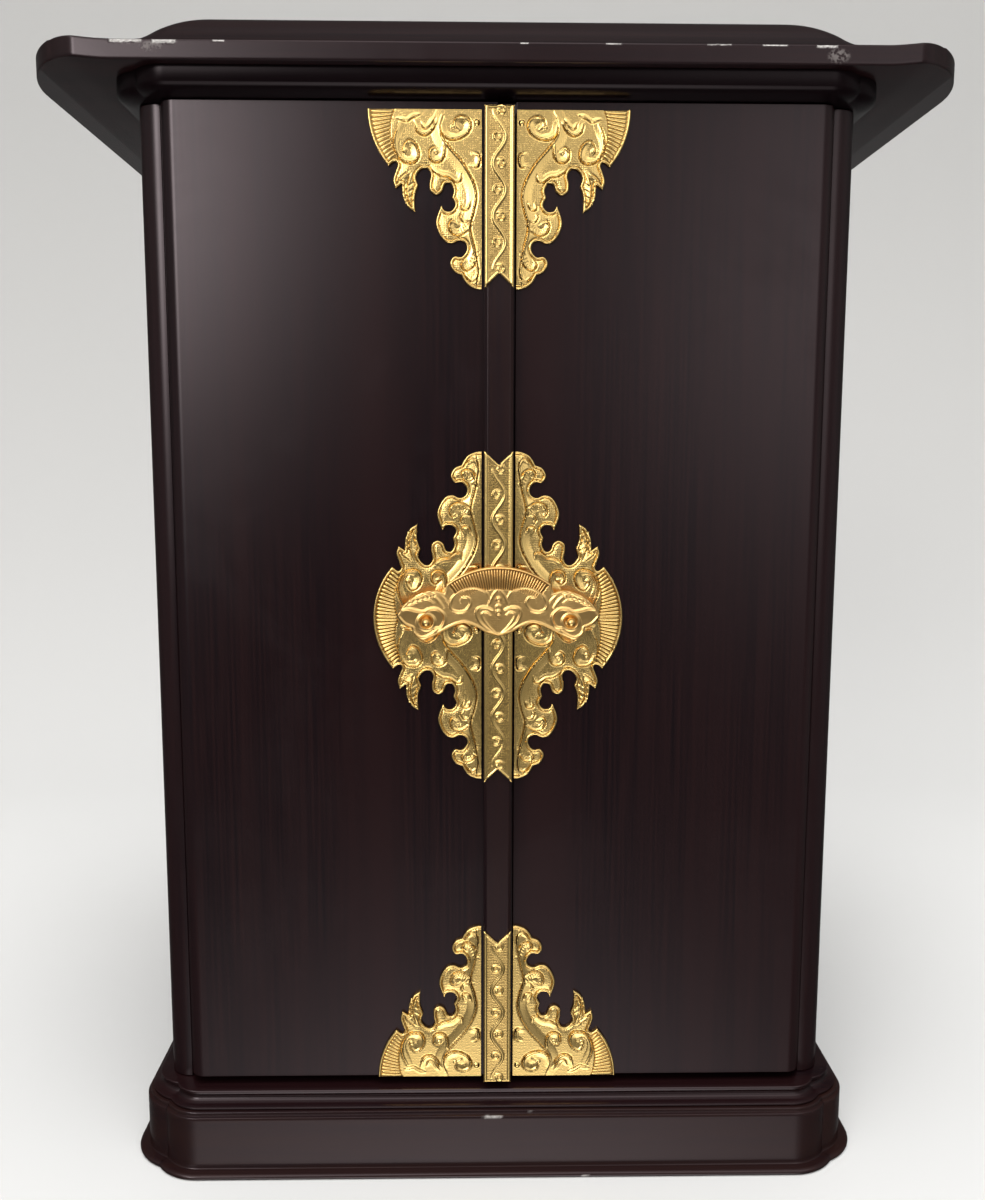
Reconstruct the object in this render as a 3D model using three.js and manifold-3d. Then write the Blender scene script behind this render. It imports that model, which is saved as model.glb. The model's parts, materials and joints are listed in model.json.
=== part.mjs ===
// A household altar cabinet (zushi): a lacquered box on a moulded base, with two doors, a winged roof
// and gilt brass fittings. Millimetres, +Z up, the doors face -Y, and the origin is on the surface that
// the cabinet stands on, under the middle of it.
import * as THREE from "three";
import { mergeVertices } from "three/addons/utils/BufferGeometryUtils.js";
import Module from "manifold-3d";

const wasm = await Module();
wasm.setup();

// ---- Driving dimensions. Depths are counted from the doors' front face, positive to the back. ----
const TOTAL_HEIGHT = 550;
const BODY_HALF_WIDTH = 164;
const GAP = 0.3; // between pieces that touch
const SUNK = 0.35; // how deep a piece of relief sits in its plate

const BODY_BACK = 300;
const ROOF_BACK = 312.3;
const BEAD_REACH = 17.7; // how far the foot bead stands out of the body
const FRAME_SHIFT = (BEAD_REACH - ROOF_BACK) / 2; // brings the middle of the depth to y = 0

// The plan corner is a double lobe: the door's round edge, a crease, then the post's round edge.
const DOOR_LOBE = { x: 146.5, y: 7.5, radius: 7.5 };
const POST_LOBE = { x: 153, y: 18.5, radius: 11 };
const LOBE_STEPS = 4;

const BASE = { top: 32, inner: 150, innerFront: 14, backRail: 14, bead: 4.5, block: 12.8 };
const FLOOR = { bottom: BASE.top + GAP, top: 40.1 };
const CORNICE = { bottom: 508, top: 519 };
const BRIM = { bottom: CORNICE.top + GAP, thickness: 8.7, front: 14.7, halfWidth: 216.5 };
const BRIM_CORNER = { x: 139.3, y: 45.5, radius: 77.2, frontHalf: 188 };
const BRIM_LIFT = { start: 168, end: 202, height: 2.4 };
const CROWN = { bottom: BRIM.bottom + BRIM.thickness + GAP, halfWidth: 170, front: 6, corner: 14 };

const WALL = { inner: 152.9, back: 8 };
const DOOR = { bottom: 44, top: 507.5, thickness: 14, outer: 152.4, meeting: 0.5 };
const REBATE = { width: 7.6, depth: 2 }; // in the right door, behind the meeting strip
const STRIP = { halfWidth: 6.6, depth: 6.2, bevel: 1.4, bottom: 44.7, top: 503.8 };

const PLATE = { inner: 7.9, thickness: 1, height: 78 };
const PLATE_LOW = DOOR.bottom + 0.4;
const PLATE_MIDDLE = 274.5;
const PLATE_TOP = 503.5;
const FAN = { x: 21.8, radius: 37, halfAngle: 41, rays: 6 };

const COVER = { halfWidth: 6.6, thickness: 0.7, notch: 6.2 };
const LATCH = { middle: 284.1, thickness: 1.1, back: 12.1, studX: 33.4, studDrop: 9.7, hole: 2.6 };
const STUD = { washer: 3.6, shank: 1.3, head: 2.2 };

// ---- Finishes ----
const lacquer = new THREE.MeshStandardMaterial({ color: 0x1d1416, roughness: 0.32, metalness: 0 });
const gilt = new THREE.MeshStandardMaterial({ color: 0xd8aa45, roughness: 0.28, metalness: 1 });
const warmGilt = new THREE.MeshStandardMaterial({ color: 0xcf9a3c, roughness: 0.33, metalness: 1 });

// ---- Geometry helpers ----

/** A closed solid through rings of equal length, the first and the last one flat. */
function loft(rings) {
  const count = rings[0].length;
  const positions = rings.flat().flatMap((p) => [p.x, p.y, p.z]);
  const index = [];
  for (let level = 0; level + 1 < rings.length; level++) {
    for (let i = 0; i < count; i++) {
      const a = level * count + i;
      const b = level * count + ((i + 1) % count);
      index.push(a, b, b + count, a, b + count, a + count);
    }
  }
  const flat = rings[0].map((p) => new THREE.Vector2(p.x, p.y));
  const last = (rings.length - 1) * count;
  for (const [a, b, c] of THREE.ShapeUtils.triangulateShape(flat, [])) {
    index.push(a, c, b, last + a, last + b, last + c);
  }
  const geometry = new THREE.BufferGeometry();
  geometry.setAttribute("position", new THREE.Float32BufferAttribute(positions, 3));
  geometry.setIndex(index);
  return geometry;
}

/** A plan outline raised between two heights. */
function prism(plan, bottom, top) {
  return loft([bottom, top].map((z) => plan.map((p) => new THREE.Vector3(p.x, p.y, z))));
}

/** An outline in x and z, given thickness from the plane y = -back towards the front. */
function frontPlate(outline, back, thickness, holes = []) {
  const shape = new THREE.Shape(outline);
  shape.holes = holes;
  const geometry = new THREE.ExtrudeGeometry(shape, { depth: thickness, bevelEnabled: false });
  return geometry.rotateX(Math.PI / 2).translate(0, -back, 0);
}

function toSolid(geometry) {
  const bare = geometry.clone();
  bare.deleteAttribute("normal");
  bare.deleteAttribute("uv");
  const merged = mergeVertices(bare, 1e-4);
  return new wasm.Manifold(new wasm.Mesh({
    numProp: 3,
    vertProperties: new Float32Array(merged.attributes.position.array),
    triVerts: new Uint32Array(merged.index.array),
  }));
}

function toGeometry(solid) {
  const mesh = solid.getMesh();
  const geometry = new THREE.BufferGeometry();
  geometry.setAttribute("position", new THREE.BufferAttribute(mesh.vertProperties, 3));
  geometry.setIndex(new THREE.BufferAttribute(mesh.triVerts, 1));
  return geometry;
}

/** Joins relief geometries to a body and cuts holes out of it. */
function carve(body, raised, cut = []) {
  let solid = toSolid(body);
  for (const piece of raised) solid = solid.add(toSolid(piece));
  for (const piece of cut) solid = solid.subtract(toSolid(piece));
  return toGeometry(solid);
}

/** The same geometry turned over in one direction, with its faces still pointing out. */
function mirrored(geometry, sx, sz) {
  const copy = geometry.clone().scale(sx, 1, sz);
  if (sx * sz > 0) return copy;
  if (!copy.index) copy.setIndex([...Array(copy.attributes.position.count).keys()]);
  const order = copy.index.array;
  for (let i = 0; i < order.length; i += 3) [order[i], order[i + 1]] = [order[i + 1], order[i]];
  return copy;
}

const pair = ([x, z]) => new THREE.Vector2(x, z);

/** Runs of points, each one a smooth curve, that meet in corners: one closed or open outline. */
function smoothRuns(runs, spacing) {
  const points = [];
  for (const run of runs) {
    const curve = new THREE.SplineCurve(run.map(pair));
    const steps = Math.max(1, Math.round(curve.getLength() / spacing));
    points.push(...curve.getSpacedPoints(steps).slice(0, -1));
  }
  return points.concat([pair(runs.at(-1).at(-1))]);
}

/** A raised ridge with a sharp crest along a smooth path, thin at both ends, sunk a little at its foot. */
function ridge(path, width, height, face, steps) {
  const curve = new THREE.SplineCurve(path.map(pair));
  const sections = [];
  for (let i = 0; i <= steps; i++) {
    const at = curve.getPointAt(i / steps);
    const along = curve.getTangentAt(i / steps);
    const swell = 0.45 + 0.55 * Math.sin(Math.PI * (i / steps));
    const side = new THREE.Vector2(-along.y, along.x).multiplyScalar((width * swell) / 2);
    sections.push([
      new THREE.Vector3(at.x - side.x, -face + SUNK, at.y - side.y),
      new THREE.Vector3(at.x + side.x, -face + SUNK, at.y + side.y),
      new THREE.Vector3(at.x, -face - height * swell, at.y),
    ]);
  }
  return tube(sections);
}

/** A closed skin over sections that all have the same number of corners. */
function tube(sections) {
  const count = sections[0].length;
  const positions = sections.flat().flatMap((p) => [p.x, p.y, p.z]);
  const index = [];
  for (let k = 1; k + 1 < count; k++) {
    const end = count * (sections.length - 1);
    index.push(0, k + 1, k, end, end + k, end + k + 1);
  }
  for (let i = 0; i + 1 < sections.length; i++) {
    for (let k = 0; k < count; k++) {
      const a = count * i + k;
      const b = count * i + ((k + 1) % count);
      index.push(a, b, a + count, b, b + count, a + count);
    }
  }
  const geometry = new THREE.BufferGeometry();
  geometry.setAttribute("position", new THREE.Float32BufferAttribute(positions, 3));
  geometry.setIndex(index);
  return geometry;
}

/** A fan of rays side by side: crests and valleys in turn, between an inner and an outer radius. */
function rays(centre, from, to, count, inner, outer, face, height) {
  const sections = [];
  for (let i = 0; i <= 2 * count; i++) {
    const angle = from + ((to - from) * i) / (2 * count);
    const rise = i % 2 ? height : 0.05;
    const spot = (radius, y) =>
      new THREE.Vector3(centre.x + radius * Math.cos(angle), y, centre.z + radius * Math.sin(angle));
    sections.push([
      spot(inner(angle), -face - rise),
      spot(outer, -face - rise),
      spot(outer, -face + SUNK),
      spot(inner(angle), -face + SUNK),
    ]);
  }
  return tube(sections);
}

// ---- Plan of the mouldings ----

/** Where the two lobes of the corner cross, for a moulding that stands out by reach. */
function crease(reach) {
  const a = DOOR_LOBE.radius + reach;
  const b = POST_LOBE.radius + reach;
  const dx = POST_LOBE.x - DOOR_LOBE.x;
  const dy = POST_LOBE.y - DOOR_LOBE.y;
  const span = Math.hypot(dx, dy);
  const along = (a * a - b * b + span * span) / (2 * span);
  const off = Math.sqrt(a * a - along * along);
  return new THREE.Vector2(
    DOOR_LOBE.x + (dx * along + dy * off) / span,
    DOOR_LOBE.y + (dy * along - dx * off) / span,
  );
}

function arcPoints(lobe, reach, from, to) {
  return Array.from({ length: LOBE_STEPS + 1 }, (_, i) => {
    const angle = from + ((to - from) * i) / LOBE_STEPS;
    const radius = lobe.radius + reach;
    return new THREE.Vector2(lobe.x + radius * Math.cos(angle), lobe.y + radius * Math.sin(angle));
  });
}

/** The right front corner from the front face round to the side face. */
function doorLobe(reach) {
  const end = crease(reach);
  return arcPoints(DOOR_LOBE, reach, -Math.PI / 2, Math.atan2(end.y - DOOR_LOBE.y, end.x - DOOR_LOBE.x));
}

function postLobe(reach) {
  const start = crease(reach);
  return arcPoints(POST_LOBE, reach, Math.atan2(start.y - POST_LOBE.y, start.x - POST_LOBE.x), 0);
}

const flip = (points) => points.map((p) => new THREE.Vector2(-p.x, p.y)).reverse();
const atHeight = (points, z) => points.map((p) => new THREE.Vector3(p.x, p.y, z));

/** A board with the double-lobed front corners and a flat back, moulded through [reach, height] steps. */
function mouldedBoard(profile, back) {
  return loft(profile.map(([reach, z]) => {
    const right = [...doorLobe(reach), ...postLobe(reach).slice(1), new THREE.Vector2(POST_LOBE.x + POST_LOBE.radius + reach, back)];
    return atHeight([...flip(right), ...right], z);
  }));
}

// ---- Base ----

const beadProfile = [
  [BEAD_REACH - 1, 0],
  [BEAD_REACH, 1.2],
  [BEAD_REACH, 2.6],
  [BEAD_REACH - 1.4, 4],
  [BASE.block + 0.6, BASE.bead],
  [BASE.block, BASE.bead + 0.8],
  [BASE.block, BASE.top - 0.8],
  [BASE.block - 0.8, BASE.top],
];

function baseFrontRail() {
  const nudge = new THREE.Vector2(-GAP / 2, -GAP / 2);
  return loft(beadProfile.map(([reach, z]) => {
    const lobe = doorLobe(reach);
    lobe[lobe.length - 1].add(nudge);
    const inner = new THREE.Vector2(BASE.inner - 2, BASE.innerFront).add(nudge);
    const right = [...lobe, inner];
    return atHeight([...flip(right), ...right], z);
  }));
}

function baseSideRail(side) {
  return loft(beadProfile.map(([reach, z]) => {
    const outer = POST_LOBE.x + POST_LOBE.radius + reach;
    const lobe = postLobe(reach);
    lobe[0].x += GAP / 2;
    const inner = BASE.inner - 2 + GAP / 2;
    const right = [...lobe, new THREE.Vector2(outer, BODY_BACK), new THREE.Vector2(inner, BODY_BACK), new THREE.Vector2(inner, BASE.innerFront)];
    return atHeight(side > 0 ? right : flip(right), z);
  }));
}

function box(x0, x1, y0, y1, z0, z1) {
  return prism([pair([x0, y0]), pair([x1, y0]), pair([x1, y1]), pair([x0, y1])], z0, z1);
}

function baseBackRail() {
  const reach = BASE.inner - 2 - GAP / 2;
  return box(-reach, reach, BODY_BACK - BASE.backRail, BODY_BACK, 0, BASE.top);
}

/** The floor's edge: a fillet, a ledge, a quarter round and a fillet. */
const floorProfile = [
  [10, FLOOR.bottom],
  [10, 33.8],
  [9, 34.3],
  [8.9, 36],
  [8.2, 37.4],
  [7, 38.5],
  [6.2, 38.9],
  [6.2, FLOOR.top],
];

// ---- Body ----

function sidePanel(side) {
  const lobe = arcPoints(POST_LOBE, 0, -Math.PI / 2, 0);
  const right = [
    pair([WALL.inner, POST_LOBE.y - POST_LOBE.radius]),
    ...lobe,
    pair([BODY_HALF_WIDTH, BODY_BACK]),
    pair([WALL.inner, BODY_BACK]),
  ];
  return prism(side > 0 ? right : flip(right), FLOOR.top + GAP, CORNICE.bottom - GAP);
}

function backPanel() {
  const reach = WALL.inner - GAP;
  return box(-reach, reach, BODY_BACK - WALL.back, BODY_BACK, FLOOR.top + GAP, CORNICE.bottom - GAP);
}

const corniceProfile = [
  [1.5, CORNICE.bottom],
  [3.5, 508.5],
  [6.6, 509.6],
  [8.8, 511],
  [9.6, 512.4],
  [9.6, CORNICE.top],
];

// ---- Roof ----

/** The brim's plan corner: a wide arc that leaves the front edge at an angle and runs into the side. */
function brimPlan() {
  const start = Math.atan2(-BRIM.front - BRIM_CORNER.y, BRIM_CORNER.frontHalf - BRIM_CORNER.x);
  const steps = 9;
  const right = [];
  for (let i = 0; i <= steps; i++) {
    const angle = start * (1 - i / steps);
    right.push(pair([
      BRIM_CORNER.x + BRIM_CORNER.radius * Math.cos(angle),
      BRIM_CORNER.y + BRIM_CORNER.radius * Math.sin(angle),
    ]));
  }
  right.push(pair([BRIM.halfWidth, ROOF_BACK]));
  return [...flip(right), ...right];
}

function brimLift(x) {
  const t = Math.min(1, Math.max(0, (Math.abs(x) - BRIM_LIFT.start) / (BRIM_LIFT.end - BRIM_LIFT.start)));
  return BRIM_LIFT.height * t * t * (3 - 2 * t);
}

/** A board whose two ends sweep up a little, cut to the brim's plan. */
function roofBrim() {
  const reach = BRIM.halfWidth + 1;
  const stops = [BRIM_LIFT.start, 177, 184, 192, BRIM_LIFT.end, reach];
  const across = [...stops.map((x) => -x).reverse(), ...stops];
  const under = across.map((x) => pair([x, BRIM.bottom + brimLift(x)]));
  const over = across.map((x) => pair([x, BRIM.bottom + BRIM.thickness + brimLift(x)])).reverse();
  const swept = frontPlate([...under, ...over], -(ROOF_BACK + 1), ROOF_BACK + BRIM.front + 2);
  const trimmed = toSolid(prism(brimPlan(), BRIM.bottom - 5, TOTAL_HEIGHT));
  return toGeometry(toSolid(swept).intersect(trimmed));
}

/** Inset and height of the crown's ogee shoulder: a short upright, a hollow, then a swell. */
const crownProfile = [
  [0, 0],
  [0, 2.6],
  [3, 3.6],
  [8, 7.6],
  [13, 12.4],
  [19, 16.8],
  [25, 19.6],
  [32, TOTAL_HEIGHT - CROWN.bottom],
];

function roofCrown() {
  return loft(crownProfile.map(([inset, rise]) => {
    const half = CROWN.halfWidth - inset;
    const front = inset - CROWN.front;
    const radius = CROWN.corner;
    const steps = 4;
    const right = [];
    for (let i = 0; i <= steps; i++) {
      const angle = -Math.PI / 2 + (Math.PI / 2) * (i / steps);
      right.push(pair([half - radius + radius * Math.cos(angle), front + radius + radius * Math.sin(angle)]));
    }
    right.push(pair([half, BODY_BACK]));
    return atHeight([...flip(right), ...right], CROWN.bottom + rise);
  }));
}

// ---- Doors ----

/** A door leaf with a half-round hinge edge; the right one has a shallow rebate at the meeting edge. */
function doorLeaf(side) {
  const radius = DOOR.thickness / 2;
  const centre = DOOR.outer - radius;
  const edge = Array.from({ length: 9 }, (_, i) => {
    const angle = -Math.PI / 2 + (Math.PI * i) / 8;
    return pair([centre + radius * Math.cos(angle), radius + radius * Math.sin(angle)]);
  });
  const meeting = side > 0
    ? [pair([DOOR.meeting, REBATE.depth]), pair([REBATE.width, REBATE.depth]), pair([REBATE.width, 0])]
    : [pair([DOOR.meeting, 0])];
  const right = [...meeting, ...edge, pair([DOOR.meeting, DOOR.thickness])];
  return prism(side > 0 ? right : flip(right), DOOR.bottom, DOOR.top);
}

/** The strip over the meeting edges, with bevelled front edges. */
function meetingStrip() {
  const { halfWidth, depth, bevel } = STRIP;
  const plan = [
    pair([-halfWidth + bevel, -GAP - depth]),
    pair([halfWidth - bevel, -GAP - depth]),
    pair([halfWidth, -GAP - depth + bevel]),
    pair([halfWidth, -GAP]),
    pair([-halfWidth, -GAP]),
    pair([-halfWidth, -GAP - depth + bevel]),
  ];
  return prism(plan, STRIP.bottom, STRIP.top);
}

// ---- Door plates: a quarter of the leafy medallion, as wide as it reaches from the meeting edge ----

/** The quarter's edge from the top of the inner edge round to the fan. Each run ends in a corner. */
const quarterRuns = [
  [[PLATE.inner, PLATE.height], [11, 77.6], [14.6, 75.7], [17.2, 71.6]],
  [[17.2, 71.6], [20.4, 70.2], [22.2, 66.6], [20.4, 63.6], [17, 63.7], [14.8, 61], [15.1, 58], [17.8, 56.5],
    [21.2, 57.7], [24.4, 57], [27, 53.8], [28.5, 49.4], [27.8, 45.4], [26, 41.4]],
  [[26, 41.4], [24.4, 43.6], [21.6, 43.6], [19.8, 41], [21.2, 37.8]],
  [[21.2, 37.8], [20.5, 34.6], [22, 31.6], [24.4, 32], [25.8, 35.2], [28.4, 36.6], [31, 35], [31.3, 31.6],
    [30.7, 28], [32.4, 25.3], [35, 25.6], [37.4, 28.9], [36.4, 32.7]],
  [[36.4, 32.7], [37.9, 37.4], [37.8, 44.2]],
  [[37.8, 44.2], [41.2, 42], [43.4, 37.4], [43.6, 31.8]],
  [[43.6, 31.8], [46.6, 34]],
  [[46.6, 34], [47.6, 30.4], [46.4, 26.4], [45.5, 23.9], [46.9, 22.3], [49.7, 24.3]],
];

function fanEdge(steps) {
  return Array.from({ length: steps }, (_, i) => {
    const angle = THREE.MathUtils.degToRad(FAN.halfAngle * (1 - (i + 1) / steps));
    return pair([FAN.x + FAN.radius * Math.cos(angle), FAN.radius * Math.sin(angle)]);
  });
}

/** Crests of the quarter's scrolls: path, width, height and the number of steps along it. */
const quarterRidges = [
  // the long S-shaped stem
  [[[10.4, 76], [9.4, 70], [10.8, 61], [12.9, 51], [11.2, 43.6], [10.1, 37], [11.8, 30.4], [16.3, 22.8], [24, 15]], 2.6, 1.1, 8],
  // the big volute beside the fan
  [[[44, 5], [47, 12], [46, 19.6], [41, 23], [36.6, 21], [36.4, 16.6], [40.4, 13.6], [42.6, 17.6]], 2.4, 1.1, 7],
  // the spiral between the volute and the stem
  [[[25, 12.6], [24.8, 19], [28.2, 22.8], [31.4, 20], [29.2, 16.2]], 2, 0.9, 4],
  // curls in the two clouds
  [[[12.8, 47.6], [17.4, 52], [22.4, 53], [24, 50]], 2, 0.9, 3],
  [[[9.8, 68.6], [13, 71.6], [16.6, 70.8], [17, 67]], 2, 0.9, 3],
  // the mid-rib of the long leaf
  [[[39.4, 27], [41, 34], [38.9, 42]], 1.8, 0.8, 3],
];

const PLATE_SPACING = 4;

function plateSolid(quarters) {
  const upper = smoothRuns(quarterRuns, PLATE_SPACING).slice(0, -1).concat([pair([49.7, 24.3])], fanEdge(5));
  const outline = quarters === 2
    ? [...upper, ...upper.slice(0, -1).map((p) => pair([p.x, -p.y])).reverse()]
    : [...upper, pair([PLATE.inner, 0])];
  const relief = quarterRidges.map(([path, width, height, steps]) => ridge(path, width, height, PLATE.thickness, steps));
  const turn = THREE.MathUtils.degToRad(FAN.halfAngle);
  const inner = (angle) => 25 + 7 * (angle / turn);
  const rayEnd = FAN.radius - 1;
  relief.push(rays({ x: FAN.x, z: 0 }, turn * 0.02, turn * 0.97, FAN.rays, inner, rayEnd, PLATE.thickness, 0.5));
  const all = quarters === 2 ? [...relief, ...relief.map((g) => mirrored(g, 1, -1))] : relief;
  return carve(frontPlate(outline, 0, PLATE.thickness), all);
}

// ---- Strip covers with a running vine and a swallow-tail notch ----

function coverSolid(low, high, notches) {
  const { halfWidth, thickness, notch } = COVER;
  const outline = [pair([halfWidth, low]), pair([halfWidth, high])];
  if (notches.top) outline.push(pair([0, high - notch]));
  outline.push(pair([-halfWidth, high]), pair([-halfWidth, low]));
  if (notches.bottom) outline.push(pair([0, low + notch]));
  const first = low + (notches.bottom ? notch + 2 : 2);
  const last = high - (notches.top ? notch + 2 : 2);
  const halfWave = 12.2;
  const waves = Math.round((last - first) / halfWave);
  const pitch = (last - first) / waves;
  const relief = [];
  const stem = [];
  for (let i = 0; i <= waves; i++) {
    const side = i % 2 ? 1 : -1;
    stem.push([side * 2.6, first + i * pitch]);
    if (i === waves) continue;
    const z = first + (i + 0.5) * pitch;
    relief.push(ridge([[side * 3.4, z + 2.6], [side * 0.4, z + 4.6], [side * -2.8, z + 2.2], [side * -1.2, z - 0.6]], 1.5, 0.7, thickness, 3));
  }
  relief.push(ridge(stem, 1.6, 0.8, thickness, waves * 2));
  return carve(frontPlate(outline, 0, thickness), relief);
}

// ---- Latch bar ----

/** The right half of the bar's edge, from the fan's end round to the point under the lotus. */
const latchRuns = [
  [[24.3, 7.6], [25.2, 4], [28.4, 4.8], [33, 4.5]],
  [[33, 4.5], [38.6, 2.2], [43.4, -1.4], [45.8, -4.8]],
  [[45.8, -4.8], [46.8, -7.2], [43.8, -10.8], [40, -12.6]],
  [[40, -12.6], [39, -15.6], [35.4, -18.2], [31, -16.8], [23, -12.7], [19, -10.9], [15.2, -10.4], [11, -11.8],
    [6, -14.4], [0, -16.2]],
];
const LATCH_FAN = { z: -24.1, radius: 40 };

/** Crests on the right half of the bar. */
const latchRidges = [
  // the round volute under the fan
  [[[6, 3], [12, 6], [19, 4.8], [23, 0], [20.6, -4.6], [15.4, -3.8], [13.8, 0.6], [17, 2.2]], 1.5, 0.8, 9],
  // one side of the pointed bud
  [[[0.2, 5.2], [3.6, 2.2], [5.2, -2.4]], 1.4, 0.8, 3],
  // one petal of the lotus
  [[[3.4, -5.6], [6, -3.4], [9.6, -4], [10.6, -7.4], [6.6, -11.6], [0.4, -15.4]], 1.5, 0.9, 6],
  // the leaf above the smooth eye
  [[[25, 1.6], [31, 3.2], [37, 1.4], [44, -3]], 1.5, 0.8, 4],
  // the brow over the eye
  [[[24.8, -9], [26.6, -5.4], [31, -3.8], [36, -4.8], [45, -5]], 1.3, 0.7, 5],
  // the lip under the eye
  [[[38.8, -14.6], [35, -17.2], [30.6, -15.6]], 1.3, 0.7, 3],
];

function latchSolid() {
  const fanEnd = Math.asin(24.3 / LATCH_FAN.radius);
  const fan = Array.from({ length: 7 }, (_, i) => {
    const angle = (fanEnd * i) / 7;
    return pair([LATCH_FAN.radius * Math.sin(angle), LATCH_FAN.z + LATCH_FAN.radius * Math.cos(angle)]);
  });
  const outline = [...fan, ...smoothRuns(latchRuns, 3.8)];
  const face = LATCH.thickness + LATCH.back;
  const relief = latchRidges.map(([path, width, height, steps]) => ridge(path, width, height, face, steps));
  const spread = (angle) => 31.4 + 1.5 * Math.sin(2 * angle);
  const rayEnd = LATCH_FAN.radius - 0.8;
  const middle = Math.PI / 2;
  relief.push(rays({ x: 0, z: LATCH_FAN.z }, middle - fanEnd * 0.96, middle, 6, spread, rayEnd, face, 0.5));
  const hole = new THREE.CylinderGeometry(LATCH.hole, LATCH.hole, 12, 12)
    .translate(LATCH.studX, -face, -LATCH.studDrop);
  const right = carve(frontPlate(outline, LATCH.back, LATCH.thickness), relief, [hole]);
  const bead = new THREE.SphereGeometry(1.3, 8, 4).translate(0, -face, -0.6);
  return carve(right, [mirrored(right, -1, 1), bead]);
}

/** A stud turned in one piece: a washer on the plate, a shank and a round head. */
function studGeometry() {
  const tip = LATCH.back + LATCH.thickness + 1.9;
  const head = Array.from({ length: 5 }, (_, i) => {
    const angle = -Math.PI / 4 + ((Math.PI * 0.75) * i) / 4;
    return new THREE.Vector2(STUD.head * Math.cos(angle), tip + STUD.head * Math.sin(angle));
  });
  head[4].x = 0;
  const start = PLATE.thickness + 1.3;
  const profile = [
    new THREE.Vector2(0, start),
    new THREE.Vector2(STUD.washer, start),
    new THREE.Vector2(STUD.washer - 0.8, start + 1.2),
    new THREE.Vector2(STUD.shank, start + 1.6),
    new THREE.Vector2(STUD.shank, head[0].y - 0.3),
    ...head,
  ];
  return new THREE.LatheGeometry(profile, 9).rotateX(Math.PI);
}

// ---- The cabinet ----

const cabinet = new THREE.Group();
cabinet.position.set(0, FRAME_SHIFT, 0);

function place(name, geometry, material, x = 0, y = 0, z = 0) {
  const mesh = new THREE.Mesh(geometry, material);
  mesh.name = name;
  mesh.position.set(x, y, z);
  cabinet.add(mesh);
}

place("base_front_rail", baseFrontRail(), lacquer);
place("base_left_rail", baseSideRail(-1), lacquer);
place("base_right_rail", baseSideRail(1), lacquer);
place("base_back_rail", baseBackRail(), lacquer);
place("floor_board", mouldedBoard(floorProfile, BODY_BACK), lacquer);
place("left_side_panel", sidePanel(-1), lacquer);
place("right_side_panel", sidePanel(1), lacquer);
place("back_panel", backPanel(), lacquer);
place("cornice_board", mouldedBoard(corniceProfile, BODY_BACK), lacquer);
place("roof_brim", roofBrim(), lacquer);
place("roof_crown", roofCrown(), lacquer);
place("left_door", doorLeaf(-1), lacquer);
place("right_door", doorLeaf(1), lacquer);
place("meeting_strip", meetingStrip(), lacquer);

const lowPlate = plateSolid(1);
const fullPlate = plateSolid(2);
for (const [sideName, side] of [["left", -1], ["right", 1]]) {
  place(`upper_${sideName}_plate`, mirrored(lowPlate, side, -1), gilt, 0, -GAP, PLATE_TOP);
  place(`middle_${sideName}_plate`, mirrored(fullPlate, side, 1), gilt, 0, -GAP, PLATE_MIDDLE);
  place(`lower_${sideName}_plate`, mirrored(lowPlate, side, 1), gilt, 0, -GAP, PLATE_LOW);
}

const coverFace = -STRIP.depth - 2 * GAP;
place("upper_strip_cover", coverSolid(PLATE_TOP - PLATE.height, STRIP.top, { bottom: true }), gilt, 0, coverFace);
place("middle_strip_cover",
  coverSolid(PLATE_MIDDLE - PLATE.height, PLATE_MIDDLE + PLATE.height, { top: true, bottom: true }), gilt, 0, coverFace);
place("lower_strip_cover", coverSolid(STRIP.bottom, PLATE_LOW + PLATE.height, { top: true }), gilt, 0, coverFace);

place("latch_bar", latchSolid(), warmGilt, 0, 0, LATCH.middle);
for (const [sideName, side] of [["left", -1], ["right", 1]]) {
  place(`${sideName}_stud`, studGeometry(), warmGilt, side * LATCH.studX, 0, LATCH.middle - LATCH.studDrop);
}

export default cabinet;
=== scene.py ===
"""Looks of a household altar cabinet: satin lacquer on wood and pressed gilt brass, on a pale floor.

Sizes are millimetres until a mesh is made. Depth is counted from the doors' front face, positive to the
back, and height from the surface that the cabinet stands on.
"""
import json
import math

import bmesh
import bpy
import numpy as np
from mathutils import Matrix, Vector, noise
from mathutils.geometry import delaunay_2d_cdt

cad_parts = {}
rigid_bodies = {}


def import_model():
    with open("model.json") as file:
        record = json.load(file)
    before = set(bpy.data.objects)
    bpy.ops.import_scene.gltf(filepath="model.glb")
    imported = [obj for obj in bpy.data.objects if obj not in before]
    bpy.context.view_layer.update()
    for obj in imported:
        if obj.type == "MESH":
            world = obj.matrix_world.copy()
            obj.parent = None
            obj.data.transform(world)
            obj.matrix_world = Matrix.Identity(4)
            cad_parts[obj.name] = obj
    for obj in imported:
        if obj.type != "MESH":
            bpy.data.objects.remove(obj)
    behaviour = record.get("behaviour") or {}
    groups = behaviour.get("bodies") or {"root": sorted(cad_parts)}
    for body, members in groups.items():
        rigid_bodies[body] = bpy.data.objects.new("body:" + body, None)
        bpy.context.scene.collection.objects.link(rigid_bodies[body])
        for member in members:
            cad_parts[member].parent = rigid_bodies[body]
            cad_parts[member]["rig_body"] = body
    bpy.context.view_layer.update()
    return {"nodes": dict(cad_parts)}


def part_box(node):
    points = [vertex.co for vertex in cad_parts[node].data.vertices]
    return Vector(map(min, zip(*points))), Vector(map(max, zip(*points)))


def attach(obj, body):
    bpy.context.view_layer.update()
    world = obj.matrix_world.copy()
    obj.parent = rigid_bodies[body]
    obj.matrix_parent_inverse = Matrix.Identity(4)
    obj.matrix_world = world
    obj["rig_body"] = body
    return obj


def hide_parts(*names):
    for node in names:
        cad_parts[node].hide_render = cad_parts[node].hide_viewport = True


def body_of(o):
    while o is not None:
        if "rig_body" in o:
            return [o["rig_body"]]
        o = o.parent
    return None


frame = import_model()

MM = 0.001
X, Y, Z = 0, 1, 2


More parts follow.
